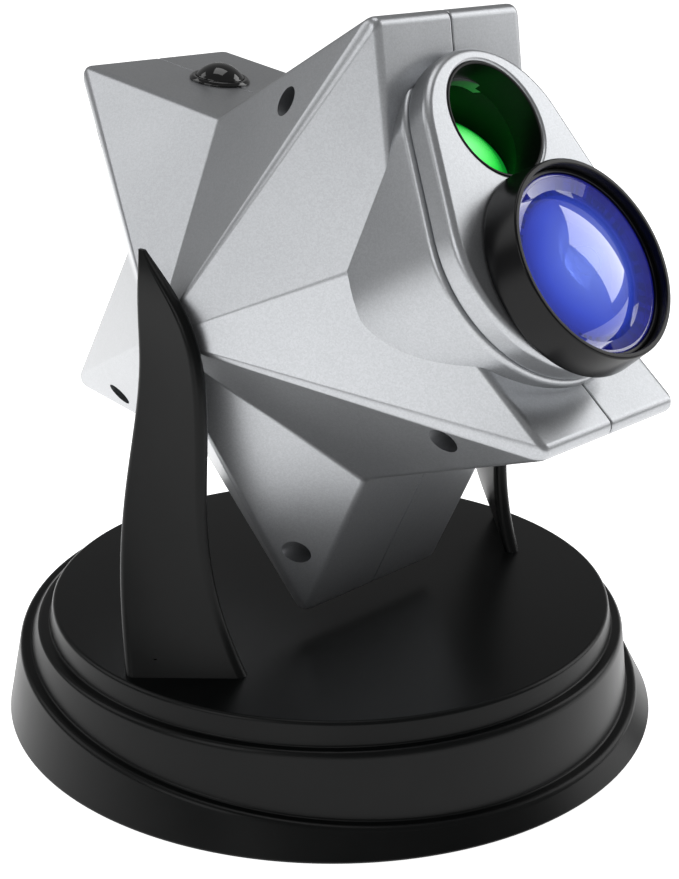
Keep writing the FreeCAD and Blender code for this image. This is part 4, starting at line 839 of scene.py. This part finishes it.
# ---------------------------------------------------------------- base
@dataclass
class Base:
    """Three-tier round base whose lower ledge slopes up towards the back."""

    ledge_height: float = 16.1
    ledge_slope: float = 6.2
    segments: int = 256

    def profile(self) -> list[tuple[float, float, float]]:
        """Section from the skirt's edge to the top's middle: radius, height, share of the ledge's slope."""
        ledge = self.ledge_height
        outer = rounded([(92.0, 0.8), (95.2, 0.8), (90.8, ledge), (87.9, ledge), (85.6, 26.9), (82.5, 26.9),
                         (81.2, 33.2), (60.0, 33.2)], [0.0, 0.8, 1.9, 0.7, 1.5, 0.6, 1.3, 0.0], 6, ring=False)
        rows = []
        for radius, height in outer:
            above = min(1.0, max(0.0, (26.9 - height) / (26.0 - ledge))) if height > ledge else 1.0
            below = min(1.0, max(0.0, (height - 1.6) / (ledge - 3.6)))
            rows.append((radius, height, min(above, below)))
        return rows

    def build(self) -> None:
        """Make the moulded cover and its underside."""
        rows = self.profile() + [(20.0, 33.2, 0.0), (0.05, 33.2, 0.0)]
        inside = [(0.05, 30.2, 0.0), (78.0, 30.2, 0.0), (79.0, 24.0, 0.0), (88.5, 5.0, 0.0), (91.4, 1.2, 0.0)]
        slope = math.tan(math.radians(self.ledge_slope))
        rings = []
        for radius, height, share in rows + inside:
            ring = []
            for k in range(self.segments):
                angle = 2 * math.pi * k / self.segments
                y = radius * math.sin(angle)
                ring.append(Vector((radius * math.cos(angle), y, height + share * slope * y)) * MM)
            rings.append(ring)
        piece("base_cover", loft("base_cover", rings, Matrix.Identity(4), closed=True), SATIN_ABS.material(),
              "base", ["base_shell"], 40)


# ---------------------------------------------------------------- studio
class Light(Enum):
    """Soft boxes: place, aim, size across, size up and power."""

    KEY = ((1.25, -0.55, 0.75), (0.0, 0.0, 0.12), 0.8, 1.0, 6.6)
    LEFT = ((-1.45, -0.05, 1.0), (0.0, 0.0, 0.12), 0.8, 0.9, 5.2)
    BACK = ((-0.75, 1.1, 1.05), (0.0, 0.0, 0.12), 1.0, 0.9, 4.2)
    TOP = ((0.2, 0.1, 1.7), (0.0, 0.0, 0.1), 0.9, 0.9, 5.0)
    FRONT = ((-1.3, -0.75, 0.16), (0.0, 0.0, 0.1), 0.7, 0.4, 1.0)


@dataclass
class Studio:
    """Pale floor, soft boxes, even surroundings and the camera."""

    azimuth: float = -45.82
    elevation: float = 20.09
    roll: float = 0.47
    spot: tuple[float, float, float] = (-0.3124, -0.3067, 0.2387)
    focal: float = 66.64
    room: float = 0.26
    paper_glow: float = 1.0

    def lights(self) -> None:
        """Place the soft boxes."""
        for light in Light:
            spot, aim, across, up, power = light.value
            lamp = bpy.data.lights.new(light.name.lower(), "AREA")
            lamp.shape = "RECTANGLE"
            lamp.size, lamp.size_y, lamp.energy = across, up, power
            holder = bpy.data.objects.new("softbox_" + light.name.lower(), lamp)
            holder.location = spot
            holder.rotation_mode = "QUATERNION"
            holder.rotation_quaternion = (Vector(aim) - Vector(spot)).to_track_quat("-Z", "Y")
            bpy.context.scene.collection.objects.link(holder)

    def surroundings(self) -> None:
        """Even white world and the floor."""
        world = bpy.data.worlds.new("studio")
        world.use_nodes = True
        bpy.context.scene.world = world
        tree = world.node_tree
        seen = add_node(tree, "ShaderNodeLightPath").outputs["Is Camera Ray"]
        strength = add_node(tree, "ShaderNodeMapRange", inputs={
            "Value": seen, "To Min": self.room, "To Max": 1.0}).outputs["Result"]
        tree.nodes["Background"].inputs["Color"].default_value = srgb("#FFFFFF")
        tree.links.new(strength, tree.nodes["Background"].inputs["Strength"])
        made = bmesh.new()
        bmesh.ops.create_grid(made, x_segments=2, y_segments=2, size=30.0)
        mesh = bpy.data.meshes.new("floor")
        made.to_mesh(mesh)
        made.free()
        floor = bpy.data.objects.new("floor", mesh)
        floor.location = (0, 0, -0.0002)
        bpy.context.scene.collection.objects.link(floor)
        # Seamless paper: matt white, bright enough to stay white round the object.
        paper = Finish("paper seamless white", "#FBFBFB", "#FFFFFF", 0.9, 0.02, grain=2.0, grain_depth=0.01)
        sheet = paper.material()
        shader = sheet.node_tree.nodes["Principled BSDF"]
        shader.inputs["Emission Color"].default_value = srgb("#FFFFFF")
        shader.inputs["Emission Strength"].default_value = self.paper_glow
        mesh.materials.append(sheet)

    def camera(self) -> None:
        """Camera at the viewing angle."""
        lens = bpy.data.cameras.new("camera")
        lens.sensor_width = 36.0
        lens.lens = self.focal
        lens.clip_start = 0.01
        holder = bpy.data.objects.new("camera", lens)
        a, e, r = (math.radians(v) for v in (self.azimuth, self.elevation, self.roll))
        back = Vector((math.sin(a) * math.cos(e), -math.cos(a) * math.cos(e), math.sin(e)))
        right = (-back).cross(Vector((0, 0, 1))).normalized()
        up = right.cross(-back)
        tilted_right = right * math.cos(r) + up * math.sin(r)
        tilted_up = up * math.cos(r) - right * math.sin(r)
        turn = Matrix((tilted_right, tilted_up, back)).transposed()
        holder.matrix_world = Matrix.Translation(self.spot) @ turn.to_4x4()
        bpy.context.scene.collection.objects.link(holder)
        bpy.context.scene.camera = holder

    def build(self) -> None:
        """Set the whole studio up."""
        self.camera()
        self.lights()
        self.surroundings()
        bpy.context.scene.view_settings.view_transform = "Standard"


def dress_frame() -> None:
    """Give every node of the frame its finish."""
    for name, finish in DRESS.items():
        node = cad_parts[name]
        if not node.material_slots:
            continue
        for holder in node.material_slots:
            holder.material = finish.material()


def main() -> None:
    """Build the pieces in order."""
    logging.basicConfig(level=logging.INFO)
    Studio().build()
    dress_frame()
    star = StarBody()
    nose = Nose()
    button = star.facet(star.notches[0], star.tips[1], 0.49)
    inlet = star.facet(star.tips[1], star.notches[1], 0.62)
    star.build(nose.opening(), button, inlet)
    nose.build()
    LensGroup().build()
    LaserPort().build()
    Button(button).build()
    Base().build()


if __name__ == "__main__":
    main()
